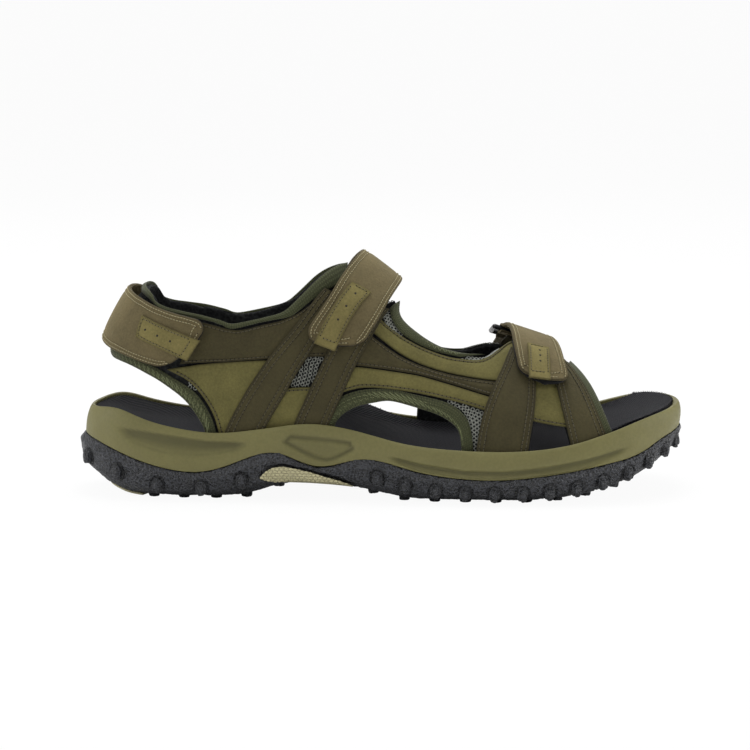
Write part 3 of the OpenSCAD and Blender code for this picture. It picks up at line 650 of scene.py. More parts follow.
def ribbed(name, colour):
    """Black footbed textile: fine slanting ribs and a little lint."""
    m, t, s = material(name, colour, 0.95, Sheen_Weight=0.04, Specular_IOR_Level=0.15)
    slanting = add(t, "ShaderNodeMapping", {"Vector": coordinates(t)}, Rotation=(0, 0, 0.5))
    ribs = wave(t, slanting.outputs["Vector"], 230, 1.2, 2, "X")
    both = weighted(t, ribs, 0.6, noise(t, 1300), 0.5)
    base = tones(t, both, [(0.2, scaled(colour, 0.5)), (0.55, colour), (0.9, scaled(colour, 2.4))])
    t.links.new(base, s.inputs["Base Color"])
    bump(t, s, both, 0.8, 0.6 * MM)
    return m


def plain(name, colour, rough, scale, strength=0.3, contrast=0.25):
    """A small part's finish: slight colour and gloss variation over a fine bump."""
    m, t, s = material(name, colour, rough)
    n = noise(t, scale)
    t.links.new(shades(t, n, colour, (0.3, 1 - contrast), (0.7, 1 + contrast)), s.inputs["Base Color"])
    uneven(t, s, n, rough)
    bump(t, s, n, strength, 0.3 * MM)
    return m


def yarn(name, colour):
    return plain(name, colour, 0.7, 4000, 0.6)


STRAP = nubuck("strap_leather", srgb(86, 77, 52), 0.35)
DARK = nubuck("dark_leather", srgb(58, 53, 32), 0.2)
LIGHT = nubuck("light_leather", srgb(90, 85, 48), 0.25)
TAB = nubuck("tab_leather", srgb(101, 93, 55), 0.3)
BINDING = cloth("binding_cloth", srgb(56, 59, 38), 260, 0.1, 0.35)
LINING = spacer("lining_mesh", srgb(10, 11, 12), srgb(34, 36, 35))
PAD_CLOTH = cloth("pad_cloth", srgb(9, 9, 11), 500, 0.05, 0.4)
NET = plain("net_yarn", srgb(128, 130, 122), 0.55, 1500, 0.4)
EVA = moulded("midsole_foam", srgb(98, 94, 55))
RUBBER = pebbled("sole_rubber", srgb(19, 20, 23))
PLATE = moulded("arch_plate", srgb(164, 158, 124), 900, 0.5)
COVER = ribbed("footbed_cloth", srgb(16, 16, 20))
BOARD = plain("insole_fibre", srgb(40, 38, 32), 0.9, 500, 0.5)
# painted shade: the dark colour of the needle holes and the punched tab holes stands for the shade inside them
HOLE_SHADE = plain("needle_hole_shade", srgb(14, 12, 7), 0.95, 2000, 0.2)
RING = plain("ring_black", srgb(12, 12, 14), 0.35, 300, 0.08, 0.3)
FUZZ = plain("hook_and_loop", srgb(14, 14, 16), 0.9, 1500, 0.6, 0.5)
FOAM_EDGE = plain("footbed_foam", srgb(14, 14, 17), 0.9, 700, 0.6)
THREADS = {
    "olive": yarn("thread_olive", srgb(66, 60, 36)),
    "tabs": yarn("thread_tab", srgb(92, 84, 52)),
    "cream": yarn("thread_cream", srgb(142, 133, 98)),
    "green": yarn("thread_green", srgb(92, 97, 62)),
    "holes": HOLE_SHADE, "dots": HOLE_SHADE, "net": NET, "fuzz": FUZZ,
}


# ---------------- threads
threads = {}


def stitch_shape(ring=6):
    """A unit stitch: along +X from 0 to 1, bowed up in the middle, with pointed sunken ends."""
    verts = [(0, 0, -0.9)]
    for x, r, h in ((0.1, 0.7, -0.1), (0.32, 1.0, 0.55), (0.68, 1.0, 0.55), (0.9, 0.7, -0.1)):
        for k in range(ring):
            a = 2 * math.pi * k / ring
            verts.append((x, r * math.cos(a), h + 0.8 * r * math.sin(a)))
    verts.append((1, 0, -0.9))
    turn = [(k, (k + 1) % ring) for k in range(ring)]
    last = len(verts) - 1 - ring
    faces = [[0, 1 + b, 1 + a] for a, b in turn]
    for s in range(1, last, ring):
        faces += [[s + a, s + b, s + b + ring, s + a + ring] for a, b in turn]
    return np.array(verts), faces + [[len(verts) - 1, last + a, last + b] for a, b in turn]


def bead_shape(ring=7):
    """A flat dark bead: painted shade that reads as a needle hole."""
    angles = [2 * math.pi * k / ring for k in range(ring)]
    verts = [(0, 0, 0.3)] + [(math.cos(a), math.sin(a), 0) for a in angles] + [(0, 0, -0.8)]
    turn = [(1 + k, 1 + (k + 1) % ring) for k in range(ring)]
    return np.array(verts), [[0, a, b] for a, b in turn] + [[ring + 1, b, a] for a, b in turn]


def hexagon_shape(inner=0.58):
    """One cell of the net: a closed hexagonal ring of unit outer radius."""
    verts, faces = [], []
    for k in range(6):
        c, d = math.cos(2 * math.pi * (k + 0.5) / 6), math.sin(2 * math.pi * (k + 0.5) / 6)
        verts += [(c * r, d * r, h) for r, h in ((1.02, 0), (0.86, 1), (inner, 0.7), (inner, 0))]
        a, b = 4 * k, 4 * ((k + 1) % 6)
        faces += [[a + m, b + m, b + (m + 1) % 4, a + (m + 1) % 4] for m in range(4)]
    return np.array(verts), faces


STITCH, BEAD, HEXAGON = stitch_shape(), bead_shape(), hexagon_shape()


def place(kind, body, shape, origin, x, y, z):
    """Queues one copy of a shape in the frame with the given origin and axis vectors."""
    threads.setdefault((kind, body), []).append((shape, origin, np.stack([x, y, z])))


def stitch(kind, body, p, q, n, radius):
    """One stitch from p to q on a surface with the normal n."""
    place(kind, body, STITCH, p + n * 0.08 * MM, q - p, unit(np.cross(n, q - p)) * radius, n * radius)


def hole(kind, body, p, lead, n, long, wide, deep):
    """A needle hole, painted as a flat dark bead of shade, that is longer along the direction lead."""
    x = unit(lead)
    place(kind, body, BEAD, p, x * long, unit(np.cross(n, x)) * wide, n * deep)


def walk(points, step, phase=0.0):
    """Positions along a polyline at equal steps, counted in its points."""
    arc = running(steps(points))
    n = int((arc[-1] - phase) / step)
    return np.interp(phase + np.arange(n + 1) * step, arc, np.arange(len(arc)))


def at(points, t):
    i = np.clip(np.floor(t).astype(int), 0, len(points) - 2)
    f = (t - i)[:, None]
    return points[i] * (1 - f) + points[i + 1] * f


def seam(kind, body, row, pitch=2.1 * MM, radius=0.22 * MM, hole_r=0.46 * MM):
    """A row of straight stitches, each dipping into a needle hole at both ends."""
    if row is None:
        return
    points, normals = row
    t = walk(points, pitch)
    p, n = at(points, t), unit(at(normals, t))
    last = len(p) - 1
    for k in range(len(p)):
        if k < last:
            stitch(kind, body, p[k], p[k + 1], n[k], radius)
        lead = p[min(k + 1, last)] - p[max(k - 1, 0)]
        hole("holes", body, p[k], lead, n[k], hole_r * 1.15, hole_r, 0.42 * MM)


def zigzag(kind, body, low, high, pitch=2.8 * MM, radius=0.22 * MM, hole_r=0.34 * MM):
    """Zigzag stitches between two rows."""
    if low is None or high is None:
        return
    a, b = at(low[0], walk(low[0], pitch)), at(high[0], walk(high[0], pitch, pitch / 2))
    n = unit(at(low[1], walk(low[0], pitch)))
    for k in range(min(len(a), len(b)) - 1):
        stitch(kind, body, a[k], b[k], n[k], radius)
        for end in (a[k], b[k]):
            hole("holes", body, end, b[k] - a[k], n[k], hole_r, hole_r, 0.3 * MM)
        stitch(kind, body, b[k], a[k + 1], n[k], radius)


def flush_threads():
    """One mesh for each kind of thread on each body."""
    for (kind, body), items in sorted(threads.items()):
        verts, faces, base = [], [], 0
        for (shape, sides), origin, axes in items:
            verts.append(origin + shape @ axes)
            faces += [[base + i for i in f] for f in sides]
            base += len(shape)
        build(f"{kind}_{body}", np.concatenate(verts), faces, THREADS[kind], body)


# ---------------- upper
PAD = 1.5 * MM              # how far padding swells towards the foot
PAD_CELL = 2.6 * MM
PAD_FRAMES = 14
CLOTH_UNIT = 10 * MM        # the cloth is simulated at this length to a unit
NET_TOP = 84 * MM
TOE_EDGE = 1.8 * MM         # how far the toe overlay reaches over its binding
COVERS = ("panel", "overlay", "infill", "bridge", "binding", "band")


def swollen(sheet, swell, inwards):
    """How far padding lifts a sheet's cover: a cloth simulation under pressure, pinned along the rim."""
    r, c = sheet.outer.shape[:2]
    nr, nc = max(6, round(sheet.v[-1] / PAD_CELL)), max(6, round(sheet.u[-1] / PAD_CELL))
    rows, cols = np.linspace(0, r - 1, nr), np.linspace(0, c - 1, nc)
    start = (sampled(sheet.outer, rows, cols) / CLOTH_UNIT).reshape(-1, 3)
    out = unit(sampled(sheet.normal, rows, cols)).reshape(-1, 3) * (-1 if inwards else 1)
    index = np.arange(nr * nc).reshape(nr, nc)
    faces = quads(index)
    if (tri_normals(start, faces) * out[faces[:, 0]]).sum() < 0:
        faces = faces[:, ::-1]
    mesh = bpy.data.meshes.new("pad_cloth")
    mesh.from_pydata(start.tolist(), [], faces.tolist())
    obj = added("pad_cloth", mesh)
    rim = np.unique(np.concatenate([index[0], index[-1], index[:, 0], index[:, -1]]))
    obj.vertex_groups.new(name="pin").add(rim.tolist(), 1, "REPLACE")
    pad = obj.modifiers.new("pad", "CLOTH")
    s = pad.settings
    s.quality, s.mass, s.shrink_min = 6, 0.15, -0.02
    s.tension_stiffness = s.compression_stiffness = 9
    s.shear_stiffness, s.bending_stiffness = 4, 0.05
    s.vertex_group_mass = "pin"
    s.use_pressure, s.uniform_pressure_force = True, 5
    s.effector_weights.gravity = 0
    pad.collision_settings.use_collision = False
    pad.point_cache.frame_end = PAD_FRAMES
    scene = bpy.context.scene
    now = scene.frame_current
    for f in range(1, PAD_FRAMES + 1):
        scene.frame_set(f)
    moved = obj.evaluated_get(bpy.context.evaluated_depsgraph_get()).data
    rise = ((vectors(moved.vertices) - start) * out).sum(1).reshape(nr, nc)
    bpy.data.objects.remove(obj)
    bpy.data.meshes.remove(mesh)
    scene.frame_set(now)
    rise = np.clip(np.nan_to_num(rise), 0, None)
    rise *= swell / max(rise.max(), 1e-9)
    return sampled(rise[..., None], np.linspace(0, nr - 1, r), np.linspace(0, nc - 1, c))[..., 0]


def panel(node, look, rows, crown, grow=0):
    """A leather panel. rows: (side, offset in mm) for each line of stitches."""
    sheet = Sheet(node)
    if grow:
        sheet.stretch(sheet.rear_and_front()[1], grow, over=6 * MM)
    grooves = []
    for where, offset in rows:
        for side in (sheet.long_sides() if where == "long" else [sheet.side(where)]):
            grooves.append((side, offset * MM, 0.28 * MM))
    sheet.shell(node + "_skin", look, grooves=grooves, crown=crown * MM)
    for side, offset, _ in grooves:
        seam("olive", home[node], sheet.row(side, offset, 1.2 * MM))


def binding(node, width=2.2, crown=0.5, zig=None, grow=0):
    """A soft folded edge binding. zig: how far its zigzag's points stay from its two edges, in mm."""
    sheet = Sheet(node, edge=(0, 0.15 * MM, 0.45 * MM, 0.9 * MM))
    if grow:
        sheet.stretch(sheet.rear_and_front()[0], grow, over=6 * MM)
    sheet.shell(node + "_skin", BINDING, edge=width * MM, crown=crown * MM, sharp=2.0)
    if zig:
        low, high = [sheet.row(g, z * MM, 0.5 * MM) for g, z in zip(sheet.long_sides(), zig)]
        zigzag("green", home[node], low, high)


def net(sheet, cover_tree, top, pitch=1.95 * MM):
    """Hexagonal net cells over the parts of a lining that no panel covers."""
    g, n, r = sheet.surface, sheet.normal, pitch / math.sqrt(3)
    for i, v in enumerate(np.arange(pitch, sheet.v[-1] - 0.6 * MM, pitch * 0.866)):
        tv = np.array([np.interp(v, sheet.v, np.arange(len(g)))])
        line, turn = along(g, tv, 0)[0], along(n, tv, 0)[0]
        arc = running(steps(line))
        for u in np.arange(pitch * (1 + 0.5 * (i % 2)), arc[-1] - 0.6 * MM, pitch):
            tu = np.array([np.interp(u, arc, np.arange(len(arc)))])
            p, m = at(line, tu)[0], unit(at(turn, tu))[0]
            x = unit(at(line, tu + 0.4)[0] - at(line, np.maximum(tu - 0.4, 0))[0])
            x = unit(x - (x @ m) * m)
            y = np.cross(m, x)
            round_it = [(x * math.cos(a) + y * math.sin(a)) * 1.4 * MM for a in np.arange(6) * math.pi / 3]
            free = [not cover_tree.ray_cast(Vector(p + d + m * 0.05 * MM), Vector(m), 5 * MM)[0]
                    for d in [np.zeros(3)] + round_it]
            if free[0] and sum(free) > 3 and p[2] <= top:
                place("net", home[sheet.node], HEXAGON, p + m * 0.03 * MM, x * r, y * r, m * 0.32 * MM)


def lining(node, cover_tree):
    """A padded lining, drawn out a little where it would show a slit beside its neighbour."""
    quarter, toe = "quarter" in node, "toe" in node
    sheet = Sheet(node, step=1.6 * MM)
    if quarter:
        rear, front = sheet.rear_and_front()
        sheet.stretch(rear, 2.2 * MM, 48 * MM, 92 * MM, steep=True)
        sheet.stretch(front, 3.5 * MM, 43 * MM, 70 * MM)
    pad = None if toe else swollen(sheet, PAD, True)
    sheet.shell(node + "_skin", LINING, edge=0.9 * MM, sharp=2.0, pad=pad)
    if not toe:
        net(sheet, cover_tree, NET_TOP if quarter else math.inf)


def upper():
    """Linings, leather panels and bindings of both sides and the heel."""
    cover_tree = search_tree([n for n in nodes if any(c in n for c in COVERS)])
    for k in ("lateral_", "medial_"):
        for n in ("quarter_lining", "vamp_lining", "toe_lining"):
            lining(k + n, cover_tree)
        panel(k + "heel_panel", LIGHT, [("rear", 2.0)], 0.35)
        panel(k + "collar_band", DARK, [("lower", 1.6), ("upper", 1.7)], 0.3)
        for n in ("rear_overlay", "front_overlay"):
            panel(k + n, DARK, [("long", 1.7), ("long", 4.2)], 0.35)
        binding(k + "arch_binding", zig=(1.0, 1.2))
        binding(k + "throat_binding", 1.8, zig=(1.0, 1.0))
        panel(k + "toe_infill", LIGHT, [("bottom", 1.8)], 0.3)
        panel(k + "toe_rear_overlay", DARK, [("long", 1.7), ("long", 3.9)], 0.35)
        panel(k + "toe_front_overlay", DARK, [("long", 1.7), ("long", 3.9)], 0.3, TOE_EDGE)
        binding(k + "toe_binding", 1.2, grow=-TOE_EDGE)
    panel("lateral_lower_infill", LIGHT, [("top", 1.8)], 0.35)
    panel("lateral_upper_infill", DARK, [("bottom", 1.8)], 0.3)
    panel("lateral_bridge_top", LIGHT, [("upper", 1.7)], 0.35)
    panel("lateral_bridge_middle", DARK, [("upper", 1.6), ("lower", 1.6)], 0.3)
    panel("lateral_bridge_bottom", LIGHT, [("lower", 1.7)], 0.35)
    panel("medial_bridge", LIGHT, [("upper", 1.7), ("lower", 1.7)], 0.35)
    binding("collar_lower_binding", zig=(1.0, 1.2))
    binding("collar_upper_binding", 1.8, 0.75)


# ---------------- straps and patches
BAR_REACH = 2.1 * MM        # from the hinge line to the middle of the strap that wraps it
HINGE_CLEAR = 5.5 * MM      # the flat strap ends this far from the hinge line
SLEEVE_T = 1.1 * MM
END_RADIUS = {"heel": 6 * MM, "instep": 6 * MM, "forefoot": 3.5 * MM}
STRAP_ROWS = (1.8 * MM, 3.6 * MM)
PAD_REACH, PAD_THICK = 26 * MM, 1.0 * MM
PAD_LIP = {"heel": 0.8 * MM, "instep": 0.8 * MM, "forefoot": 2.6 * MM}
TAB_TIP = 4.4 * MM          # from the tab's free end to its last row of stitches
TAB_ROW = 1.6 * MM
TAB_OVER = {"heel": 1.0 * MM, "instep": 2.4 * MM, "forefoot": 2.2 * MM}
TAB_DOTS = {"heel": (0.19, 0.40, 0.61), "instep": (0.19, 0.40, 0.61), "forefoot": (0.27, 0.43, 0.59)}


def strap_grids(k):
    """The strap's CAD grids, carried on over the ring's bar and folded back under itself."""
    co, tri = welded(k + "_strap")
    parts = [(outwards(co, t), co[strip_of(t)]) for t in patches(co, tri)[:3] if len(strip_of(t)) > 5]
    outer, inner = [g for _, g in sorted(parts, key=lambda part: part[0], reverse=True)[:2]]
    if np.linalg.norm(outer[0, 0] - inner[0, 0]) > np.linalg.norm(outer[0, 0] - inner[0, -1]):
        inner = inner[:, ::-1]
    n = min(len(outer), len(inner))
    outer, inner = outer[:n], inner[:n]
    hinge = joints[k + "_strap_hinge"]
    axis, centre = unit(np.array(hinge["axis"])), np.array(hinge["pos_m"])
    mid, half = (outer + inner) / 2, (outer - inner) / 2
    rel = mid.mean(1) - centre
    rel -= np.outer(rel @ axis, axis)
    near = np.linalg.norm(rel, axis=1) <= HINGE_CLEAR
    near[:n // 2] = False
    if near.any():
        n = int(np.argmax(near))
    mid, half = mid[:n], half[:n]
    up = unit(half[-1, 2])
    up = unit(up - (up @ axis) * axis)
    to = centre + up * BAR_REACH - mid[-1, 2]
    to = unit(to - (to @ axis) * axis)
    up = unit(up - (up @ to) * to)
    across = (mid[-1] - centre) @ axis
    across = np.outer(np.linspace(across[0], across[-1], 5), axis)
    wrap = [up + to * math.sin(math.radians(-12)) * 1.2]
    wrap += [math.cos(a) * up + math.sin(a) * to for a in np.radians([18, 50, 85, 120, 150, 178])]
    mids = [centre + across + r * BAR_REACH for r in wrap]
    halves = [np.tile(unit(r) * SLEEVE_T / 2, (5, 1)) for r in wrap]
    for back, rise in ((2.5, 0.25), (5.5, 1.0), (9.0, 1.35)):
        mids.append(mids[6] - to * back * MM + up * rise * MM)
        halves.append(halves[6])
    mid, half = np.concatenate([mid, mids]), np.concatenate([half, halves])
    return mid + half, mid - half


def bristles(kind, body, sheet, length, margin=0.8 * MM):
    """Short stiff hooks or soft loops standing on a patch."""
    rim = np.min(sheet.apart, axis=0)
    for i, j in np.argwhere(rim >= margin):
        n = sheet.normal[i, j]
        x = unit(sheet.outer[i, min(j + 1, rim.shape[1] - 1)] - sheet.outer[i, j - 1])
        lean = unit(n + x * rng.uniform(-0.4, 0.4) + np.cross(n, x) * rng.uniform(-0.4, 0.4))
        p = sheet.surface[i, j] + x * rng.uniform(-0.2, 0.2) * MM
        stitch(kind, body, p, p + lean * length, x, 0.11 * MM)


def strap(k):
    """A strap with its stitches and the padded cloth under its end."""
    body = k + "_strap_flap"
    s = Sheet(k + "_strap", grids=strap_grids(k))
    s.round_end(END_RADIUS[k])
    s.shell(k + "_strap_skin", STRAP, edge=0.7 * MM, crown=0.35 * MM,
            grooves=[(g, o, 0.26 * MM) for g in (0, 1, 3) for o in STRAP_ROWS])
    reach = int(np.searchsorted(s.v, PAD_REACH))
    under = s.inner[:reach]
    soft = Sheet(k + "_strap", grids=(under, under - s.normal[:reach] * PAD_THICK))
    soft.stretch(0, PAD_LIP[k])
    soft.shell(k + "_strap_pad", PAD_CLOTH, edge=0.45 * MM, stands=False)
    for o in STRAP_ROWS:
        rows = [s.row(g, o, o, clear=(2, 9 * MM)) for g in (1, 3)] + [s.row(0, o, o)]
        for row in rows:
            seam("cream", body, row, 1.6 * MM, 0.2 * MM, 0.32 * MM)
    return s


def patch(node, length):
    """A hook or loop patch. The hooks stand on the side that faces the foot."""
    sheet = Sheet(node, step=0.7 * MM)
    sheet.shell(node + "_skin", FUZZ)
    if "hook" in node:
        sheet.surface = sheet.outer - sheet.normal * 0.7 * MM
        sheet.normal = -sheet.normal
    bristles("fuzz", home[node], sheet, length)


def pull_tab(k, tip):
    """The tab on a strap's end, which overhangs its tip, with its stitches and three punched holes."""
    node = k + "_pull_tab"
    body, tab = home[node], Sheet(node, step=0.8 * MM)
    sides = tab.long_sides()
    ends = [g for g in range(4) if g not in sides]
    free = min(ends, key=lambda g: np.linalg.norm(tab.sides[g].mean(0) - tip))
    tab.stretch(free, TAB_OVER[k], over=8 * MM)
    offsets = [(TAB_TIP if g == free else TAB_ROW) for g in range(4)]
    grooves = [(g, o, 0.22 * MM) for g, o in enumerate(offsets)]
    tab.shell(node + "_skin", TAB, crown=0.15 * MM, grooves=grooves)
    for g, o in enumerate(offsets):
        row = tab.row(g, o, TAB_ROW, clear=None if g == free else (free, TAB_TIP))
        seam("tabs", body, row, 1.8 * MM, 0.2 * MM, 0.4 * MM)
    middle = [g.swapaxes(0, 1) if 1 in sides else g for g in (tab.surface, tab.normal)]
    line, normals = [g[len(g) // 2] for g in middle]
    if np.linalg.norm(line[0] - tip) < np.linalg.norm(line[-1] - tip):
        line, normals = line[::-1], normals[::-1]
    for share in TAB_DOTS[k]:
        t = np.array([share * (len(line) - 1)])
        p, n = at(line, t)[0], unit(at(normals, t))[0]
        lead = unit(line[-1] - line[0])
        hole("dots", body, p, lead - (lead @ n) * n, n, 0.6 * MM, 0.6 * MM, 0.4 * MM)


# ---------------- sole, rings and keepers
def modified(node, mods, look, paired=True):
    """A welded copy of a CAD solid put through the given modifiers, on the solid's own body."""
    name = node + "_skin"
    obj = added(name, joined(node, name, paired))
    for kind, settings in mods:
        m = obj.modifiers.new(kind, kind)
        for key, value in settings.items():
            setattr(m, key, value)
    done = bpy.data.meshes.new_from_object(obj.evaluated_get(bpy.context.evaluated_depsgraph_get()))
    obj.modifiers.clear()
    obj.data = done
    done.name = name
    done.materials.clear()
    done.materials.append(look)
    done.polygons.foreach_set("use_smooth", [True] * len(done.polygons))
    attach(obj, home[node])
    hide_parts(node)
    return done, vectors(done.vertices), vectors(done.vertices, "normal")


def remeshed(voxel, passes):
    """A fine even mesh, smoothed a little."""
    smooth = {"factor": 0.5, "iterations": passes}
    return [("REMESH", {"mode": "VOXEL", "voxel_size": voxel}), ("SMOOTH", smooth)]


def softened(width, levels):
    """Rounded edges and a subdivided surface."""
    bevel = {"width": width, "segments": 2, "limit_method": "ANGLE", "angle_limit": math.radians(42)}
    return [("BEVEL", bevel), ("SUBSURF", {"levels": levels, "render_levels": levels})]


def carve(mesh, co, deep):
    """Moves a mesh's vertices and stores how deep each lies, for the painted shade in its colour."""
    mesh.vertices.foreach_set("co", co.astype(np.float32).ravel())
    mesh.update()
    paint(mesh, "deep", deep)


# Moulded recesses of the midsole wall in mm: upper edge, lower edge, depth.
RECESSES = [
    ([(-19, 35.0), (2, 33.1), (27, 29.6), (49, 28.8)],
     [(-19, 35.0), (-10, 29.4), (2, 25.2), (20, 23.2), (40, 25.6), (49, 28.8)], 1.7),
    ([(114, 23.8), (133, 19.6), (153, 16.7), (173, 16.6), (193, 18.6), (214, 22.3), (236, 27.8)],
     [(114, 23.8), (129, 17.9), (153, 14.2), (173, 13.9), (193, 15.3), (213, 18.8), (236, 27.8)], 1.6),
]
# The outlined field over the arch in mm: upper edge and lower edge, and the groove round it.
FIELD = ([(65.5, 30.5), (68, 33), (82, 32.2), (97, 30.4), (98.5, 27.5)],
         [(65.5, 30.5), (74, 25.8), (80, 22.8), (85.5, 21.4), (91, 23.2), (98.5, 27.5)])
FIELD_GROOVE, FIELD_SINK = 1.3, 0.3
PLATE_GROOVE = 1.6          # mm round the arch plate
LUG_TROUGH = 0.8 * MM
LUG_FACE = (5, 14)          # least and greatest area of a lug's face in mm2
LUG_RING = (3.35, 0.5)      # radius and half width in mm of the ring round a lug
LUG_STEP = (1.85, 0.35)     # the same for the step round its button
OUTSOLE_VOXEL = 0.58 * MM


def recess(x, z, upper, lower, depth):
    """Depth in mm of a long recess, deepest under its upper edge, with a crease at its lower one."""
    zu, zl = np.interp(x, *zip(*upper)), np.interp(x, *zip(*lower))
    t = (zu - z) / np.maximum(zu - zl, 0.3)
    ends = smoothstep((x - upper[0][0]) / 9) * smoothstep((upper[-1][0] - x) / 9)
    inside = np.where(t >= 0, np.clip(1 - t, 0, 1) ** 0.8, 0)
    above = smoothstep(1 - (z - zu) / 1.5) * (t < 0)
    return depth * ends * (np.maximum(inside, above) + 0.35 * np.exp(-((z - zl) / 0.55) ** 2))


def field(x, z):
    """Depth in mm of the field over the arch: a groove along its outline and a slightly sunk middle."""
    edge = np.array(FIELD[0] + FIELD[1][::-1], float)
    gap = to_line(np.stack([x, z], 1), edge)
    zu, zl = np.interp(x, *zip(*FIELD[0])), np.interp(x, *zip(*FIELD[1]))
    inside = (z < zu) & (z > zl) & (x > FIELD[0][0][0]) & (x < FIELD[0][-1][0])
    return FIELD_GROOVE * np.exp(-(gap / 0.85) ** 2) + FIELD_SINK * inside * smoothstep(gap / 1.5)


def midsole():
    mesh, co, normal = modified("midsole", softened(0.7 * MM, 3), EVA)
    x, y, z = co.T / MM
    deep = field(x, z) + sum(recess(x, z, *shape) for shape in RECESSES)
    deep *= smoothstep((np.abs(y) - 18) / 6) * smoothstep((0.85 - np.abs(normal[:, 2])) / 0.25)
    deep *= normal[:, 1] * np.sign(y) > 0
    # The recess depth, clipped, also darkens the foam: painted shade in the recesses and the groove round the
    # field.
    carve(mesh, co - normal * deep[:, None] * MM, np.clip(deep, 0, 1.2) * 0.6)


def hashed(p, cell, seed=0.0):
    """Smooth value noise over space, from -1 to 1."""
    q = p / cell + seed
    i = np.floor(q).astype(np.int64)
    f = smoothstep(q - i)
    total = np.zeros(len(p))
    for corner in itertools.product((0, 1), repeat=3):
        a, b, c = (i + corner).T
        value = (((a * 73856093 ^ b * 19349663 ^ c * 83492791) * 2654435761) % 65536) / 32768 - 1
        total += value * np.where(corner, f, 1 - f).prod(1)
    return total


def lug_troughs(co, normal):
    """How deep each outsole vertex lies in the ring round a lug and in the step round its button, 0 to 1."""
    trough = np.zeros(len(co))
    lug_co, lug_tri = welded("outsole")
    for part in patches(lug_co, lug_tri, 20):
        total = tri_normals(lug_co, part).sum(0)
        size, face = np.linalg.norm(total) / 2 / MM ** 2, unit(total)
        if not LUG_FACE[0] < size < LUG_FACE[1] or face[2] < -0.9:
            continue
        rel = (co - lug_co[part].mean((0, 1))) / MM
        near = np.flatnonzero((rel ** 2).sum(1) < 64)
        upright = unit(np.array([0, 0, 1.0]) - face[2] * face)
        q = rel[near]
        reach = np.hypot(np.maximum(np.abs(q @ upright) - 1.0, 0), q @ np.cross(face, upright))
        high = q @ face
        ring, step = [np.exp(-((reach - radius) / width) ** 2) for radius, width in (LUG_RING, LUG_STEP)]
        cut = ring * (high > -4) * (normal[near] @ face > 0.35) + 0.6 * step * (high > -2.5)
        trough[near] = np.maximum(trough[near], cut)
    return trough


def outsole():
    mesh, co, normal = modified("outsole", remeshed(OUTSOLE_VOXEL, 1), RUBBER, False)
    grain = (hashed(co, 1.6 * MM) + 0.6 * hashed(co, 0.9 * MM, 3.3)) * 0.19 * MM
    grain *= smoothstep((co[:, 2] - 0.2 * MM) / (0.5 * MM))
    trough = lug_troughs(co, normal)
    plate_co, plate_tree = welded("arch_plate")[0], search_tree(["arch_plate"])
    low, high = plate_co.min(0) - 3 * MM, plate_co.max(0) + 3 * MM
    for i in np.flatnonzero(((co > low) & (co < high)).all(1)):
        gap = plate_tree.find_nearest(Vector(co[i]))[3] / MM
        trough[i] = max(trough[i], smoothstep((PLATE_GROOVE - gap) / 0.8))
    trough *= smoothstep((co[:, 2] - 0.5 * MM) / (1.5 * MM))
    # The trough depth also darkens the rubber: painted shade round the lugs and in the groove round the arch
    # plate.
    carve(mesh, co + normal * (grain - trough * LUG_TROUGH)[:, None], trough)


def footbed(hairs=3500):
    """The cover with a few loose fibres along its edge, the core and the board."""
    _, co, normal = modified("footbed_cover", softened(0.25 * MM, 2), COVER)
    edge_points = np.flatnonzero((normal[:, 2] > 0.05) & (normal[:, 2] < 0.9))
    for i in rng.choice(edge_points, min(len(edge_points), hairs), replace=False):
        lean = unit(normal[i] + rng.uniform(-0.5, 0.5, 3) + np.array([0, 0, 0.4]))
        tip = co[i] + lean * rng.uniform(0.3, 0.8) * MM
        stitch("fuzz", home["footbed_cover"], co[i], tip, unit(np.cross(lean, (0.3, 0.8, 0.1))), 0.08 * MM)
    modified("footbed", softened(0.4 * MM, 2), FOAM_EDGE)
    modified("insole_board", softened(0.3 * MM, 2), BOARD)


def arch_plate():
    """The plate under the arch with rows of raised scales on its outer face, and painted shade on everything but
    the scale tops.
    """
    mesh, co, normal = modified("arch_plate", softened(0.25 * MM, 4), PLATE)
    u, v = co[:, 0] / MM, co[:, 2] / MM
    du, dv = (u + (np.floor(v / 1.5) % 2) * 1.1) % 2.2 - 1.1, v % 1.5 - 0.75
    scales = np.clip(1 - du ** 2 - (dv / 0.7) ** 2, 0, 1) ** 0.6 * (normal[:, 1] * np.sign(co[:, 1]) > 0.5)
    # painted shade: all but the scale tops get a deep value of 0.55, which darkens the plate there
    carve(mesh, co + normal * (scales * 0.4 * MM)[:, None], 0.55 * (scales < 0.3))


# ---------------- the sandal
upper()
for k in STRAPS:
    made = strap(k)
    patch(k + "_hook_patch", 0.35 * MM)
    patch(k + "_loop_patch", 0.28 * MM)
    pull_tab(k, made.outer[0].mean(0))
for k in STRAPS:
    modified(k + "_keeper", remeshed(0.4 * MM, 3), STRAP)
    modified(k + "_ring", remeshed(0.3 * MM, 3), RING)
midsole()
outsole()
footbed()
arch_plate()
Sheet("heel_insert").shell("heel_insert_skin", PLATE)
collar = Sheet("heel_collar", step=1.3 * MM)
collar.shell("heel_collar_skin", LINING, edge=1.2 * MM, crown=0.2 * MM, sharp=2.0,
             bulge=swollen(collar, 0.9 * MM, False), pad=swollen(collar, PAD, True))
flush_threads()


# ---------------- stage, light and camera
AIM = Vector((0.1095, 0, 0.0572))
DISTANCE, ELEVATION, FIELD_WIDTH = 1.8, math.radians(9), 0.375
WORLD_LIGHT, FLOOR_GLOW, GLOW_SHARE = 0.52, 0.99, 0.95


def lamp(name, location, size, power):
    """A round soft light aimed at the sandal."""
    data = bpy.data.lights.new(name, "AREA")
    data.shape, data.size, data.energy = "DISK", size, power
    obj = added(name, data)
    obj.location = location
    obj.rotation_euler = (Vector((0.11, 0, 0.05)) - Vector(location)).to_track_quat("-Z", "Y").to_euler()


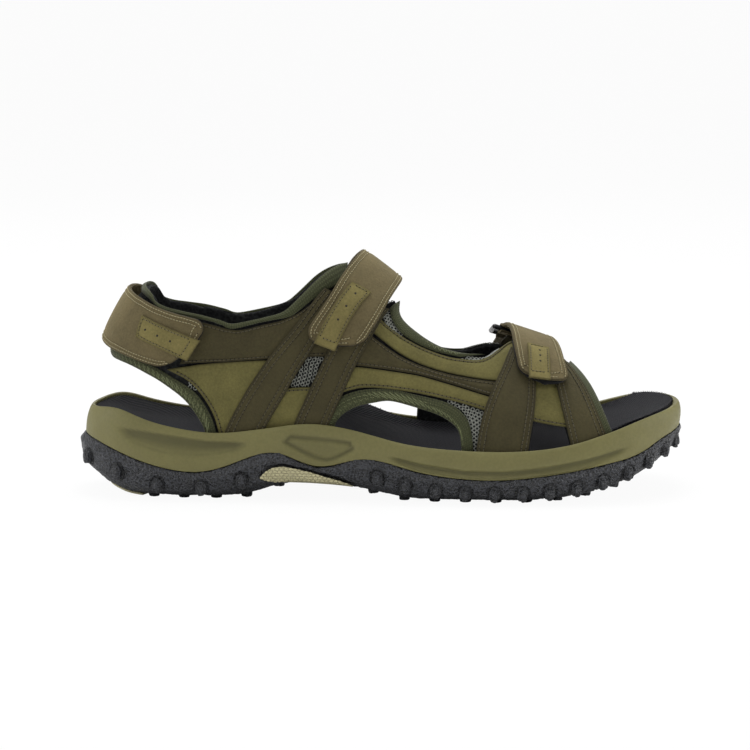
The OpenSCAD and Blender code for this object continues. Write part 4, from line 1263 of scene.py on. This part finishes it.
def floor(half_width=7, front=-4, bend=2.2, radius=1.2, top=5):
    """A pale floor that curves up into a back wall. The camera sees it glow a little, so it looks even."""
    points = [(front, 0)] + [(bend * t, 0) for t in np.linspace(0, 1, 6)]
    for a in np.linspace(0.2, math.pi / 2, 10):
        points.append((bend + radius * math.sin(a), radius - radius * math.cos(a)))
    points.append((bend + radius, top))
    mesh = bpy.data.meshes.new("floor")
    verts = [(x, y, z) for y, z in points for x in (-half_width, half_width)]
    mesh.from_pydata(verts, [], [[i, i + 1, i + 3, i + 2] for i in range(0, len(verts) - 2, 2)])
    mesh.polygons.foreach_set("use_smooth", [True] * len(mesh.polygons))
    white, tree, shader = material("floor_white", (0.93, 0.93, 0.93), 0.9, Specular_IOR_Level=0.0)
    glow = add(tree, "ShaderNodeEmission", Strength=FLOOR_GLOW)
    seen = add(tree, "ShaderNodeLightPath").outputs["Is Camera Ray"]
    blend = add(tree, "ShaderNodeMixShader", {"Fac": math_node(tree, "MULTIPLY", seen, GLOW_SHARE)})
    feed(tree, blend, {1: shader.outputs[0], 2: glow.outputs[0]})
    tree.links.new(blend.outputs[0], tree.nodes["Material Output"].inputs["Surface"])
    mesh.materials.append(white)
    added("floor", mesh)


lamp("key", (-0.3, -0.95, 1.0), 0.8, 3)
lamp("left", (-1.15, -0.1, 0.45), 0.7, 6)
lamp("right", (1.35, -0.1, 0.45), 0.7, 8)
lamp("top", (0.1, 0.2, 1.2), 0.7, 11)
lamp("back", (0.0, 1.0, 0.7), 0.8, 3)

world = bpy.data.worlds.new("studio")
bpy.context.scene.world = world
world.use_nodes = True
world.node_tree.nodes["Background"].inputs["Color"].default_value = (1, 1, 1, 1)
world.node_tree.nodes["Background"].inputs["Strength"].default_value = WORLD_LIGHT
floor()

camera = added("camera", bpy.data.cameras.new("camera"))
camera.data.sensor_width = 36
camera.data.lens = 36 * DISTANCE / FIELD_WIDTH
towards = Vector((0, -math.cos(ELEVATION), math.sin(ELEVATION)))
camera.location = AIM + towards * DISTANCE
camera.rotation_mode = "QUATERNION"
camera.rotation_quaternion = (-towards).to_track_quat("-Z", "Y")
camera.data.clip_start, camera.data.clip_end = 0.05, 20
bpy.context.scene.camera = camera
bpy.context.scene.view_settings.view_transform = "Standard"
